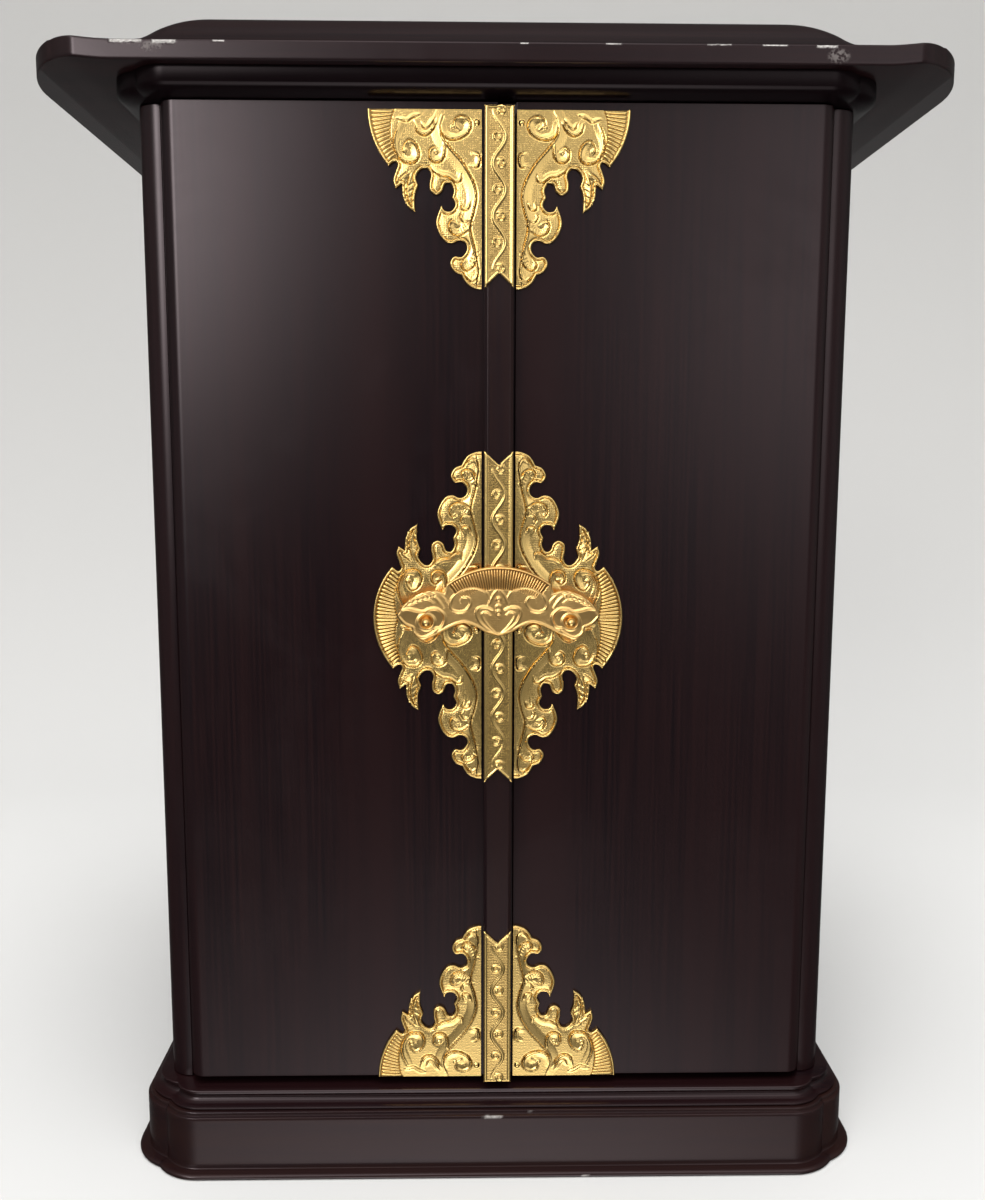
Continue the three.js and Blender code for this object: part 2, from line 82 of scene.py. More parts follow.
def lowest(node, axis):
    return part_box(node)[0][axis] / MM


def highest(node, axis):
    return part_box(node)[1][axis] / MM


DOOR_FACE = lowest("left_door", Y)
GAP = 0.3  # between pieces that touch


# ---- Camera ----

# In metres, just left of the doors' meeting line. It looks down a little and hardly turns or leans.
CAMERA_PLACE = (-0.0122, -0.6753, 0.3510)
CAMERA_PITCH = math.radians(7.347)
CAMERA_YAW = math.radians(1.042)
CAMERA_ROLL = math.radians(0.122)
LENS = 33.83


def add_camera():
    """The camera, level apart from its pitch and a slight roll."""
    data = bpy.data.cameras.new("camera")
    data.lens = LENS
    data.sensor_width = 36
    data.clip_start = 0.01
    camera = bpy.data.objects.new("camera", data)
    bpy.context.scene.collection.objects.link(camera)
    ahead = Vector((
        math.sin(CAMERA_YAW) * math.cos(CAMERA_PITCH),
        math.cos(CAMERA_YAW) * math.cos(CAMERA_PITCH),
        -math.sin(CAMERA_PITCH),
    ))
    level = Vector((math.cos(CAMERA_YAW), -math.sin(CAMERA_YAW), 0))
    above = level.cross(ahead)
    right = level * math.cos(CAMERA_ROLL) + above * math.sin(CAMERA_ROLL)
    up = above * math.cos(CAMERA_ROLL) - level * math.sin(CAMERA_ROLL)
    turn = Matrix((right, up, -ahead)).transposed().to_4x4()
    camera.matrix_world = Matrix.Translation(CAMERA_PLACE) @ turn
    bpy.context.scene.camera = camera


add_camera()


# ---- Materials ----

def colour(text):
    """An sRGB hex colour as linear RGBA."""
    values = [int(text[i:i + 2], 16) / 255 for i in (0, 2, 4)]
    return tuple(v / 12.92 if v <= 0.04045 else ((v + 0.055) / 1.055) ** 2.4 for v in values) + (1,)


def add_node(tree, kind, **given):
    """A node with its settings and inputs. An input is a value or another node's socket, and goes by its
    own name or by its number, as in i0; a word with a small letter is a setting."""
    node = tree.nodes.new(kind)
    for word, value in given.items():
        by_number = word[0] == "i" and word[1:].isdigit()
        if word[0].islower() and not by_number:
            setattr(node, word, value)
            continue
        slot = node.inputs[int(word[1:]) if by_number else word.replace("_", " ")]
        if isinstance(value, bpy.types.NodeSocket):
            tree.links.new(value, slot)
        else:
            slot.default_value = value
    return node


def new_material(name):
    """A material with its node tree and a Principled shader that is already its surface."""
    material = bpy.data.materials.new(name)
    material.use_nodes = True
    tree = material.node_tree
    tree.nodes.clear()
    output = tree.nodes.new("ShaderNodeOutputMaterial")
    shader = tree.nodes.new("ShaderNodeBsdfPrincipled")
    tree.links.new(shader.outputs[0], output.inputs["Surface"])
    return material, tree, shader


def lacquered_wood(name, along, stain, rubbed, shine=0.5):
    """Dark stained hardwood under a satin lacquer: nearly black, with a purple-brown warmth where light
    falls on it, faint straight grain along one axis, and a soft gloss that hands have dulled in places."""
    material, tree, shader = new_material(name)
    place = add_node(tree, "ShaderNodeTexCoord").outputs["Object"]
    grain_width, grain_length = 1.4 * MM, 90 * MM
    scale = [1 / grain_length if axis == along else 1 / grain_width for axis in range(3)]
    grain_place = add_node(tree, "ShaderNodeMapping", Vector=place, Scale=scale).outputs[0]
    grain = add_node(tree, "ShaderNodeTexNoise", Vector=grain_place, Scale=1.0, Detail=4.0,
                     Roughness=0.6).outputs[0]
    # broad figure in the board, as wide as a plank's growth bands: about 20 mm
    band_place = add_node(tree, "ShaderNodeMapping", Vector=grain_place, Scale=[0.07] * 3).outputs[0]
    figure = add_node(tree, "ShaderNodeTexNoise", Vector=band_place, Scale=1.0, Detail=2.0).outputs[0]
    # where hands have dulled the gloss, in patches about 90 mm across
    haze = add_node(tree, "ShaderNodeTexNoise", Vector=place, Scale=11.0, Detail=6.0, Roughness=0.7,
                    Distortion=0.6).outputs[0]
    streak = add_node(tree, "ShaderNodeMapRange", Value=grain, From_Min=0.35, From_Max=0.7).outputs[0]
    band = add_node(tree, "ShaderNodeMapRange", Value=figure, From_Min=0.4, From_Max=0.65).outputs[0]
    dark = add_node(tree, "ShaderNodeMix", data_type="RGBA", i0=streak, i6=colour(stain),
                    i7=colour(rubbed)).outputs[2]
    warm = add_node(tree, "ShaderNodeMix", data_type="RGBA", i0=band, i6=dark,
                    i7=colour(rubbed)).outputs[2]
    # fine wear, in specks about 1.4 mm across, breaks up the scuffs and the chips
    wear = add_node(tree, "ShaderNodeTexNoise", Vector=place, Scale=700.0, Detail=3.0).outputs[0]
    scuff = add_node(tree, "ShaderNodeAttribute", attribute_name="scuff").outputs["Fac"]
    patchy = add_node(tree, "ShaderNodeMapRange", Value=wear, From_Min=0.42, From_Max=0.58,
                      To_Max=0.75).outputs[0]
    scuffed = add_node(tree, "ShaderNodeMath", operation="MULTIPLY", i0=scuff, i1=patchy).outputs[0]
    greyed = add_node(tree, "ShaderNodeMix", data_type="RGBA", i0=scuffed, i6=warm,
                      i7=colour(SCUFFED_GREY)).outputs[2]
    primer = add_node(tree, "ShaderNodeAttribute", attribute_name="primer").outputs["Fac"]
    flaked = add_node(tree, "ShaderNodeMapRange", Value=wear, From_Min=0.4, From_Max=0.62, To_Min=1.0,
                      To_Max=0.45).outputs[0]
    chipped = add_node(tree, "ShaderNodeMath", operation="MULTIPLY", i0=primer, i1=flaked).outputs[0]
    bare = add_node(tree, "ShaderNodeMix", data_type="RGBA", i0=chipped, i6=greyed,
                    i7=colour(PALE_PRIMER)).outputs[2]
    tree.links.new(bare, shader.inputs["Base Color"])
    worn = add_node(tree, "ShaderNodeMath", operation="MAXIMUM", i0=scuffed, i1=primer).outputs[0]
    sheen = add_node(tree, "ShaderNodeMapRange", Value=haze, From_Min=0.5, From_Max=0.72, To_Min=0.2,
                     To_Max=0.27).outputs[0]
    rough = add_node(tree, "ShaderNodeMath", operation="MULTIPLY_ADD", i0=worn, i1=0.4,
                     i2=sheen).outputs[0]
    tree.links.new(rough, shader.inputs["Roughness"])
    ripple = add_node(tree, "ShaderNodeBump", Strength=0.05, Distance=0.2 * MM, Height=grain).outputs[0]
    tree.links.new(ripple, shader.inputs["Normal"])
    shader.inputs["IOR"].default_value = LACQUER_IOR
    shader.inputs["Specular IOR Level"].default_value = shine
    shader.inputs["Specular Tint"].default_value = colour(LACQUER_SHEEN)
    return material


def gilt_brass(name, bright, deep, roughness):
    """Brass sheet, pressed in relief and gilded: clean gold on the rubbed crests, brown in the hollows
    where polish has gathered, and a punched, stippled ground between the scrolls."""
    material, tree, shader = new_material(name)
    place = add_node(tree, "ShaderNodeTexCoord").outputs["Object"]
    # tarnish in patches about 11 mm across
    tarnish = add_node(tree, "ShaderNodeTexNoise", Vector=place, Scale=90.0, Detail=4.0,
                       Roughness=0.6).outputs[0]
    crest = add_node(tree, "ShaderNodeAttribute", attribute_name="crest").outputs["Fac"]
    rubbed = add_node(tree, "ShaderNodeMath", operation="MULTIPLY_ADD", i0=tarnish, i1=0.5,
                      i2=crest).outputs[0]
    clean = add_node(tree, "ShaderNodeMapRange", Value=rubbed, From_Min=0.2, From_Max=1.15).outputs[0]
    metal = add_node(tree, "ShaderNodeMix", data_type="RGBA", i0=clean, i6=colour(deep),
                     i7=colour(bright)).outputs[2]
    tree.links.new(metal, shader.inputs["Base Color"])
    shader.inputs["Metallic"].default_value = 1.0
    shader.inputs["Roughness"].default_value = roughness
    # punched dots, drawn a little coarser than the real 0.5 mm so that they read as dots
    dot_spacing = 0.8 * MM
    dots = add_node(tree, "ShaderNodeTexVoronoi", Vector=place, Scale=1 / dot_spacing,
                    Randomness=0.3).outputs["Distance"]
    pit = add_node(tree, "ShaderNodeMapRange", Value=dots, From_Min=0.1, From_Max=0.55, To_Min=1.0,
                   To_Max=0.0).outputs[0]
    ground = add_node(tree, "ShaderNodeAttribute", attribute_name="ground").outputs["Fac"]
    stipple = add_node(tree, "ShaderNodeMath", operation="MULTIPLY", i0=pit, i1=ground).outputs[0]
    bump = add_node(tree, "ShaderNodeBump", Strength=0.4, Distance=0.12 * MM, Height=stipple).outputs[0]
    tree.links.new(bump, shader.inputs["Normal"])
    return material


LACQUER_IOR = 1.46
LACQUER_SHEEN = "fcecf1"
SCUFFED_GREY = "77716f"
PALE_PRIMER = "c4c1bd"  # the filler under the lacquer, bare where it has chipped
AXIS_WORDS = ("across", "deep", "upright")

LACQUER = [lacquered_wood("satin_lacquered_wood_" + word, axis, "0d0508", "1b0c0d")
           for axis, word in enumerate(AXIS_WORDS)]
# the cornice under the roof gets a darker stain and a weaker gloss than the rest: painted shade from the
# roof's overhang
SHADED_LACQUER = [lacquered_wood("shade_darkened_lacquered_wood_across", X, "0a0507", "0e0709", shine=0.16)]
# the base and the meeting strip are handled and wiped most, so the brown stain shows through
BASE_LACQUER = [lacquered_wood("rubbed_lacquered_wood_" + word, axis, "160c0f", "20110f")
                for axis, word in enumerate(AXIS_WORDS)]
GILT = gilt_brass("pressed_gilt_brass", "f5d184", "8e6a34", roughness=0.25)
# the latch bar is warmer and a little duller, because it is the piece that hands take hold of
LATCH_GILT = gilt_brass("warm_gilt_brass", "f6cb82", "9a6e38", roughness=0.28)


# ---- Mesh helpers ----

def to_mesh(name, vertices, faces, sharp_angle=32):
    """A mesh in the shared frame, in metres, from millimetre points, with its faces turned outwards."""
    mesh = bpy.data.meshes.new(name)
    mesh.from_pydata([(x * MM, (y + DOOR_FACE) * MM, z * MM) for x, y, z in vertices], [], faces)
    mesh.validate()
    shell = bmesh.new()
    shell.from_mesh(mesh)
    bmesh.ops.remove_doubles(shell, verts=shell.verts, dist=0.002 * MM)
    bmesh.ops.recalc_face_normals(shell, faces=shell.faces)
    shell.to_mesh(mesh)
    shell.free()
    mesh.shade_smooth()
    mesh.set_sharp_from_angle(angle=math.radians(sharp_angle))
    return mesh


def note_values(mesh, **values):
    """Keeps a number for each vertex under each word, for the materials to read."""
    for word, numbers in values.items():
        mesh.attributes.new(word, "FLOAT", "POINT").data.foreach_set("value", numbers)


def add_piece(name, mesh, node, material, bevel=0.0):
    """A finished piece that stands for one CAD node and rides on its body."""
    piece = bpy.data.objects.new(name, mesh)
    bpy.context.scene.collection.objects.link(piece)
    mesh.materials.append(material)
    if bevel:
        rounding = piece.modifiers.new("rubbed_edges", "BEVEL")
        rounding.width = bevel * MM
        rounding.segments = 3
        rounding.limit_method = "ANGLE"
        rounding.angle_limit = math.radians(40)
        rounding.harden_normals = True
    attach(piece, body_of(frame["nodes"][node])[0])
    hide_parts(node)


def loft(rings):
    """Points and faces of a closed skin over rings of equal length, flat at both ends."""
    count = len(rings[0])
    vertices = [point for ring in rings for point in ring]
    faces = []
    for level in range(len(rings) - 1):
        for i in range(count):
            a = level * count + i
            b = level * count + (i + 1) % count
            faces.append((a, b, b + count, a + count))
    faces.append(tuple(range(count)))
    faces.append(tuple(range(len(vertices) - count, len(vertices))))
    return vertices, faces


def spline(points, spacing):
    """Evenly spaced points on a smooth curve through the given ones."""
    knots = np.array(points, float)
    if len(knots) == 2:
        fine = knots
    else:
        padded = np.vstack([knots[0], knots, knots[-1]])
        t = np.linspace(0, 1, 24, endpoint=False)[:, None]
        pieces = []
        for p0, p1, p2, p3 in zip(padded, padded[1:], padded[2:], padded[3:]):
            v1 = (p2 - p0) / 2
            v2 = (p3 - p1) / 2
            pieces.append((2 * p1 - 2 * p2 + v1 + v2) * t**3 + (3 * p2 - 3 * p1 - 2 * v1 - v2) * t**2
                          + v1 * t + p1)
        fine = np.vstack(pieces + [knots[-1:]])
    lengths = np.concatenate([[0], np.cumsum(np.hypot(*np.diff(fine, axis=0).T))])
    steps = max(1, round(lengths[-1] / spacing))
    stops = np.linspace(0, lengths[-1], steps + 1)
    return np.stack([np.interp(stops, lengths, fine[:, k]) for k in range(2)], axis=1)


def joined_runs(runs, spacing):
    """Smooth runs that meet in corners, as one open line."""
    parts = [spline(run, spacing)[:-1] for run in runs]
    return np.vstack(parts + [np.array([runs[-1][-1]])])


def upright(plan, low, high):
    """A straight length of one plan, from one height to another."""
    return loft([[(x, y, z) for x, y in plan] for z in (low, high)])


# ---- Plan of the mouldings: a double lobe at each front corner ----

DOOR_LOBE = (146.5, 7.5, 7.5)  # x, depth and radius
POST_LOBE = (153.9, 18.5, 11.0)
LOBE_STEPS = 20
BODY_BACK = highest("back_panel", Y) - DOOR_FACE


def crease(reach):
    """Where the two lobes cross, for a moulding that stands out by reach."""
    ax, ay, ar = DOOR_LOBE
    bx, by, br = POST_LOBE
    a, b = ar + reach, br + reach
    dx, dy = bx - ax, by - ay
    span = math.hypot(dx, dy)
    along = (a * a - b * b + span * span) / (2 * span)
    off = math.sqrt(a * a - along * along)
    return ax + (dx * along + dy * off) / span, ay + (dy * along - dx * off) / span


def lobe_arc(lobe, reach, start, end, steps=LOBE_STEPS):
    """Points round a lobe that stands out by reach, from one angle to another."""
    x, y, radius = lobe
    angles = [start + (end - start) * i / steps for i in range(steps + 1)]
    return [(x + (radius + reach) * math.cos(a), y + (radius + reach) * math.sin(a)) for a in angles]


def door_lobe(reach):
    x, y = crease(reach)
    return lobe_arc(DOOR_LOBE, reach, -math.pi / 2, math.atan2(y - DOOR_LOBE[1], x - DOOR_LOBE[0]))


def post_lobe(reach):
    x, y = crease(reach)
    return lobe_arc(POST_LOBE, reach, math.atan2(y - POST_LOBE[1], x - POST_LOBE[0]), 0)


def flipped(points):
    """The other half of a plan that is the same left and right."""
    return [(-x, y) for x, y in reversed(points)]


def moulding(profile, plan):
    """The rings of a moulding: plan(reach) at each [reach, height] of the profile."""
    return [[(x, y, z) for x, y in plan(reach)] for reach, z in profile]


# ---- Base ----

BASE_TOP = highest("base_front_rail", Z)
BEAD_REACH = -(lowest("base_front_rail", Y) - DOOR_FACE)
BLOCK_REACH = 12.8
BASE_INNER = 148.0
BASE_INNER_FRONT = 14.0
FACE_STEPS = 90  # columns across each half of the block's face
BLOCK_STEPS = 24  # and rows up it

# Reach and height, from the foot bead over a small quirk to the block and the step on top of it.
base_profile = [
    *spline([(BEAD_REACH - 1.2, 0), (BEAD_REACH - 0.35, 0.5), (BEAD_REACH, 1.4), (BEAD_REACH - 0.3, 2.3),
             (BEAD_REACH - 1.1, 2.9), (BEAD_REACH - 2, 3.1)], 0.4),
    (BLOCK_REACH + 0.3, 3.3),
    (BLOCK_REACH, 4.0),
    *((BLOCK_REACH, 4.0 + (BASE_TOP - 6.8) * i / BLOCK_STEPS) for i in range(1, BLOCK_STEPS + 1)),
    (BLOCK_REACH - 0.15, BASE_TOP - 2.4),
    (BLOCK_REACH - 0.7, BASE_TOP - 2.1),
    (BLOCK_REACH - 1.3, BASE_TOP - 1.9),
    (BLOCK_REACH - 1.3, BASE_TOP - 0.5),
    (BLOCK_REACH - 1.5, BASE_TOP - 0.1),
    (BLOCK_REACH - 1.9, BASE_TOP),
]


def front_rail_plan(reach):
    """The front rail as far as the crease of each corner, where it meets the side rails."""
    lobe = door_lobe(reach)
    x, y = lobe[-1]
    lobe[-1] = (x - GAP / 2, y - GAP / 2)
    face = [(DOOR_LOBE[0] * (i / FACE_STEPS), lobe[0][1]) for i in range(1, FACE_STEPS)]
    right = [*face, *lobe, (BASE_INNER - GAP / 2, BASE_INNER_FRONT - GAP / 2)]
    return [*flipped(right), (0, lobe[0][1]), *right]


def side_rail_plan(side):
    """A side rail, from the crease round the post and straight back."""
    def plan(reach):
        lobe = post_lobe(reach)
        lobe[0] = (lobe[0][0] + GAP / 2, lobe[0][1])
        inner = BASE_INNER + GAP / 2
        right = [*lobe, (lobe[-1][0], BODY_BACK), (inner, BODY_BACK), (inner, BASE_INNER_FRONT)]
        return right if side > 0 else flipped(right)
    return plan


def plain_board(node):
    """A flat board of the size its node gives."""
    x0, y0 = lowest(node, X), lowest(node, Y) - DOOR_FACE
    x1, y1 = highest(node, X), highest(node, Y) - DOOR_FACE
    return upright([(x0, y0), (x1, y0), (x1, y1), (x0, y1)], lowest(node, Z), highest(node, Z))


EDGE = 0.35  # how far a cut edge is rubbed round


def wood_piece(node, shape, along, bevel=EDGE, lacquer=LACQUER):
    """A lacquered piece with its cut edges rubbed round and its grain along one axis."""
    mesh = to_mesh(node + "_wood", *shape)
    add_piece(node + "_lacquered", mesh, node, lacquer[along], bevel)


def rough_edge(x, size):
    """A jagged wobble between about -1 and 1, for the outline of a chip."""
    return noise.noise(Vector((x / size, 3.1, 0))) + 0.6 * noise.noise(Vector((x / size * 3, 7.7, 0)))


# Small chips on the front of the base: middle, height, half length and half height.
BASE_CHIPS = [(-1.8, BASE_TOP - 2.6, 4.9, 0.5), (16.4, BASE_TOP - 1.0, 1.2, 0.7), (43.0, 1.0, 1.4, 0.8)]


def base_front_rail():
    """The front rail, with its chips down to the pale primer."""
    mesh = to_mesh("base_front_rail_wood", *loft(moulding(base_profile, front_rail_plan)))
    bare = []
    for vertex in mesh.vertices:
        x, z = vertex.co.x / MM, vertex.co.z / MM
        room = max(min(half - abs(x - middle), 2 * (tall - abs(z - height)))
                   for middle, height, half, tall in BASE_CHIPS)
        bare.append(min(1, max(0, room + 0.4 * rough_edge(x, 1.5))))
    note_values(mesh, primer=bare)
    add_piece("base_front_rail_lacquered", mesh, "base_front_rail", BASE_LACQUER[X], EDGE)


base_front_rail()
for word, side in (("left", -1), ("right", 1)):
    wood_piece(f"base_{word}_rail", loft(moulding(base_profile, side_rail_plan(side))), Y,
               lacquer=BASE_LACQUER)
wood_piece("base_back_rail", plain_board("base_back_rail"), X)


# ---- Floor board and cornice ----

def board_plan(reach):
    """A board that follows both corners and runs straight to the back."""
    side = POST_LOBE[0] + POST_LOBE[2] + reach
    right = [*door_lobe(reach), *post_lobe(reach)[1:], (side, BODY_BACK)]
    return [*flipped(right), *right]


FLOOR_LOW = lowest("floor_board", Z)
FLOOR_TOP = highest("floor_board", Z)
# A bead over the rails, a hollow, and a fillet under the doors.
floor_profile = [
    (9.6, FLOOR_LOW),
    (9.9, FLOOR_LOW + 0.3),
    (9.9, FLOOR_LOW + 1.0),
    (9.5, FLOOR_LOW + 1.3),
    (7.9, FLOOR_LOW + 1.6),
    *spline([(7.0, FLOOR_LOW + 1.9), (5.8, FLOOR_LOW + 2.8), (5.2, FLOOR_LOW + 4.1),
             (5.3, FLOOR_LOW + 5.2), (5.9, FLOOR_LOW + 5.9)], 0.3),
    (6.2, FLOOR_LOW + 6.2),
    (6.3, FLOOR_LOW + 6.8),
    (6.3, FLOOR_TOP - 0.5),
    (6.0, FLOOR_TOP - 0.1),
    (5.6, FLOOR_TOP),
]
CORNICE_LOW = lowest("cornice_board", Z)
CORNICE_TOP = highest("cornice_board", Z)
# A swell that leans out to carry the roof.
cornice_profile = [
    *spline([(1.5, CORNICE_LOW), (3.8, CORNICE_LOW + 0.6), (6.6, CORNICE_LOW + 1.6),
             (8.6, CORNICE_LOW + 2.9), (9.6, CORNICE_LOW + 4.4)], 0.4),
    (9.6, CORNICE_TOP),
]
wood_piece("floor_board", loft(moulding(floor_profile, board_plan)), X)
# the cornice wears the darker, duller copy of the lacquer, as painted shade under the roof
wood_piece("cornice_board", loft(moulding(cornice_profile, board_plan)), X, lacquer=SHADED_LACQUER)


# ---- Panels ----

PANEL_LOW = lowest("left_side_panel", Z)
PANEL_TOP = highest("left_side_panel", Z)
PANEL_INNER = -highest("left_side_panel", X)


def side_panel(side):
    """A wall whose front edge is the round post."""
    post = lobe_arc(POST_LOBE, 0, -math.pi / 2, 0)
    right = [(PANEL_INNER, post[0][1]), *post, (post[-1][0], BODY_BACK), (PANEL_INNER, BODY_BACK)]
    return upright(right if side > 0 else flipped(right), PANEL_LOW, PANEL_TOP)


for word, side in (("left", -1), ("right", 1)):
    wood_piece(f"{word}_side_panel", side_panel(side), Z)
wood_piece("back_panel", plain_board("back_panel"), Z)


# ---- Roof ----

ROOF_BACK = highest("roof_brim", Y) - DOOR_FACE
BRIM_LOW = lowest("roof_brim", Z)
BRIM_LIFT = 2.4
BRIM_THICKNESS = highest("roof_brim", Z) - BRIM_LOW - BRIM_LIFT
BRIM_FRONT = lowest("roof_brim", Y) - DOOR_FACE
BRIM_ARC = (139.3, 45.5, 77.2)  # x, depth and radius of each front corner
BRIM_ARRIS = 188.0  # where the front face turns into the corner
ARRIS_BLEND = 9  # columns on either side over which that turn is rubbed round
BRIM_COLUMNS = 376  # along each half of the front face, close enough for the chips' outlines
BRIM_ARC_STEPS = 44
BRIM_EDGE = 0.7  # radius of the top front edge
CHIP_DEPTH = 0.35
CHIP_FADE = 0.35
LIFT_START, LIFT_END = 168.0, 202.0

# Chips in the lacquer along the top front edge: middle, half length, how far down and how far back.
EDGE_CHIPS = [
    (-164.0, 4.2, 1.7, 0.9), (-157.2, 3.1, 1.5, 0.8), (-144.6, 5.2, 1.9, 1.2), (-121.0, 2.6, 1.1, 0.6),
    (10.4, 1.8, 0.9, 0.4), (49.2, 3.2, 0.8, 0.6), (95.0, 5.2, 0.7, 0.7), (119.5, 5.6, 0.9, 0.6),
    (142.2, 4.6, 1.5, 1.2),
]
# Grey rubbed patches on the front face: middle, half length, depth below the edge and half height.
FACE_SCUFFS = [(-150.5, 5.4, 3.0, 2.2), (147.4, 5.4, 4.8, 3.4), (-160.0, 7.0, 1.2, 1.2)]


def brim_rise(x):
    """How far the wing has lifted at x."""
    t = min(1, max(0, (abs(x) - LIFT_START) / (LIFT_END - LIFT_START)))
    return BRIM_LIFT * t * t * (3 - 2 * t)


def chip_depth(x, down, back):
    """How much of the lacquer is gone at a place near the edge, from 0 to 1."""
    worst = 0.0
    for middle, half, reach_down, reach_back in EDGE_CHIPS:
        room = half - abs(x - middle) + 0.5 * rough_edge(x + 40, 0.9)
        reach = (reach_down if down > 0 else reach_back) * (1 + 0.3 * rough_edge(x, 1.4))
        worst = max(worst, min(room, reach - down - back) / CHIP_FADE)
    return min(1, max(0, worst))


def scuff_share(x, down):
    """How grey the front face is rubbed at a place, from 0 to 1."""
    share = 0.0
    for middle, half, deep, tall in FACE_SCUFFS:
        share = max(share, 1 - ((x - middle) / half) ** 2 - ((down - deep) / tall) ** 2)
    return min(1, max(0, share * 1.6))


def roof_brim():
    """The thin roof board: one column of points after another from wing to wing, with every chip sunk."""
    ax, ay, radius = BRIM_ARC
    corner = math.acos((BRIM_ARRIS - ax) / radius)
    turns = [corner * (1 - i / BRIM_ARC_STEPS) for i in range(BRIM_ARC_STEPS + 1)]
    arc = [(ax + radius * math.cos(turn), ay - radius * math.sin(turn)) for turn in turns]
    front = [(BRIM_ARRIS * i / BRIM_COLUMNS, BRIM_FRONT) for i in range(BRIM_COLUMNS)]
    right = [*front, *arc]
    line = np.array(right)
    for k in range(len(front) - ARRIS_BLEND, len(front) + ARRIS_BLEND):
        reach = min(ARRIS_BLEND, len(right) - 1 - k)
        right[k] = tuple(line[k - reach:k + reach + 1].mean(0))
    # rows of points, closest together where the chips are
    down_stops = [BRIM_THICKNESS - BRIM_EDGE, BRIM_THICKNESS - 1.6, 5.6, 4.6, 3.8, 3.2, 2.7, 2.2, 1.8, 1.4,
                  1.0]
    back_stops = [1.0, 1.4, 1.8, 2.2, 2.8, 3.6, 5.0, 9.0]
    rings, primer, scuff = [], [], []
    for x, y in [*flipped(right[1:]), *right]:
        low = BRIM_LOW + brim_rise(x)
        top = low + BRIM_THICKNESS
        ring = [(x, y + BRIM_EDGE, low), (x, y + BRIM_EDGE * 0.3, low + BRIM_EDGE * 0.3)]
        bare, grey = [0, 0], [0, 0]
        for down in down_stops:
            gone = chip_depth(x, down, 0)
            ring.append((x, y + CHIP_DEPTH * gone, top - down))
            bare.append(gone)
            grey.append(scuff_share(x, down))
        for angle in (15, 35, 55, 75):
            across, up = math.cos(math.radians(angle)), math.sin(math.radians(angle))
            gone = chip_depth(x, BRIM_EDGE * (1 - up), BRIM_EDGE * (1 - across))
            inward = BRIM_EDGE + CHIP_DEPTH * gone
            ring.append((x, y + inward - BRIM_EDGE * across, top - inward + BRIM_EDGE * up))
            bare.append(gone)
            grey.append(scuff_share(x, 0.5))
        for back in back_stops:
            gone = chip_depth(x, 0, back)
            ring.append((x, y + back, top - CHIP_DEPTH * gone))
            bare.append(gone)
            grey.append(0)
        rings.append([*ring, (x, ROOF_BACK, top), (x, ROOF_BACK, low)])
        primer += [*bare, 0, 0]
        scuff += [*grey, 0, 0]
    mesh = to_mesh("roof_brim_wood", *loft(rings), sharp_angle=40)
    note_values(mesh, primer=primer, scuff=scuff)
    return mesh


add_piece("roof_brim_lacquered", roof_brim(), "roof_brim", LACQUER[X])

CROWN_LOW = lowest("roof_crown", Z)
CROWN_TOP = highest("roof_crown", Z)
CROWN_HALF = highest("roof_crown", X)
CROWN_FRONT = lowest("roof_crown", Y) - DOOR_FACE
CROWN_CORNER = 14.0

# Inset and rise of the crown's shoulder: an upright, a hollow, a swell, then flat on top.
crown_profile = [
    (0.3, CROWN_LOW),
    (0, CROWN_LOW + 0.3),
    (0, CROWN_LOW + 2.3),
    (0.4, CROWN_LOW + 2.7),
    *spline([(3, CROWN_LOW + 3.6), (8, CROWN_LOW + 7.6), (13, CROWN_LOW + 12.4), (19, CROWN_LOW + 16.8),
             (25, CROWN_LOW + 19.6), (32, CROWN_LOW + 21.4), (36, CROWN_TOP)], 0.8),
]


def crown_plan(inset):
    """The crown inside its shoulder by inset: round at the front corners and square at the back."""
    half = CROWN_HALF - inset
    front = CROWN_FRONT + inset
    radius = CROWN_CORNER
    arc = [(half - radius + radius * math.sin(turn), front + radius - radius * math.cos(turn))
           for turn in (math.radians(90 * i / 14) for i in range(15))]
    right = [*arc, (half, BODY_BACK)]
    return [*flipped(right), *right]


wood_piece("roof_crown", loft(moulding(crown_profile, crown_plan)), X, bevel=0)


# ---- Doors and the meeting strip ----

DOOR_LOW = lowest("left_door", Z)
DOOR_TOP = highest("left_door", Z)
DOOR_THICKNESS = highest("left_door", Y) - DOOR_FACE
DOOR_OUTER = -lowest("left_door", X)
DOOR_MEETING = -highest("left_door", X)
REBATE_WIDTH, REBATE_DEPTH = 7.6, 2.0


def door_leaf(side):
    """A leaf with a half-round hinge edge. The right one is rebated for the meeting strip."""
    radius = DOOR_THICKNESS / 2
    centre = DOOR_OUTER - radius
    edge = [(centre + radius * math.sin(turn), radius - radius * math.cos(turn))
            for turn in (math.pi * i / 28 for i in range(29))]
    meeting = [(DOOR_MEETING, 0)]
    if side > 0:
        meeting = [(DOOR_MEETING, REBATE_DEPTH), (REBATE_WIDTH, REBATE_DEPTH), (REBATE_WIDTH, 0)]
    right = [*meeting, *edge, (DOOR_MEETING, DOOR_THICKNESS)]
    return upright(right if side > 0 else flipped(right), DOOR_LOW, DOOR_TOP)


for word, side in (("left", -1), ("right", 1)):
    wood_piece(f"{word}_door", door_leaf(side), Z)

STRIP_HALF = highest("meeting_strip", X)
STRIP_FRONT = lowest("meeting_strip", Y) - DOOR_FACE
STRIP_LOW = lowest("meeting_strip", Z)
STRIP_TOP = highest("meeting_strip", Z)
STRIP_BEVEL = 1.4


def meeting_strip():
    """The strip over the doors' meeting edges, with its front arrises cut off."""
    plan = [
        (-STRIP_HALF + STRIP_BEVEL, STRIP_FRONT), (STRIP_HALF - STRIP_BEVEL, STRIP_FRONT),
        (STRIP_HALF, STRIP_FRONT + STRIP_BEVEL), (STRIP_HALF, -GAP), (-STRIP_HALF, -GAP),
        (-STRIP_HALF, STRIP_FRONT + STRIP_BEVEL),
    ]
    return upright(plan, STRIP_LOW, STRIP_TOP)


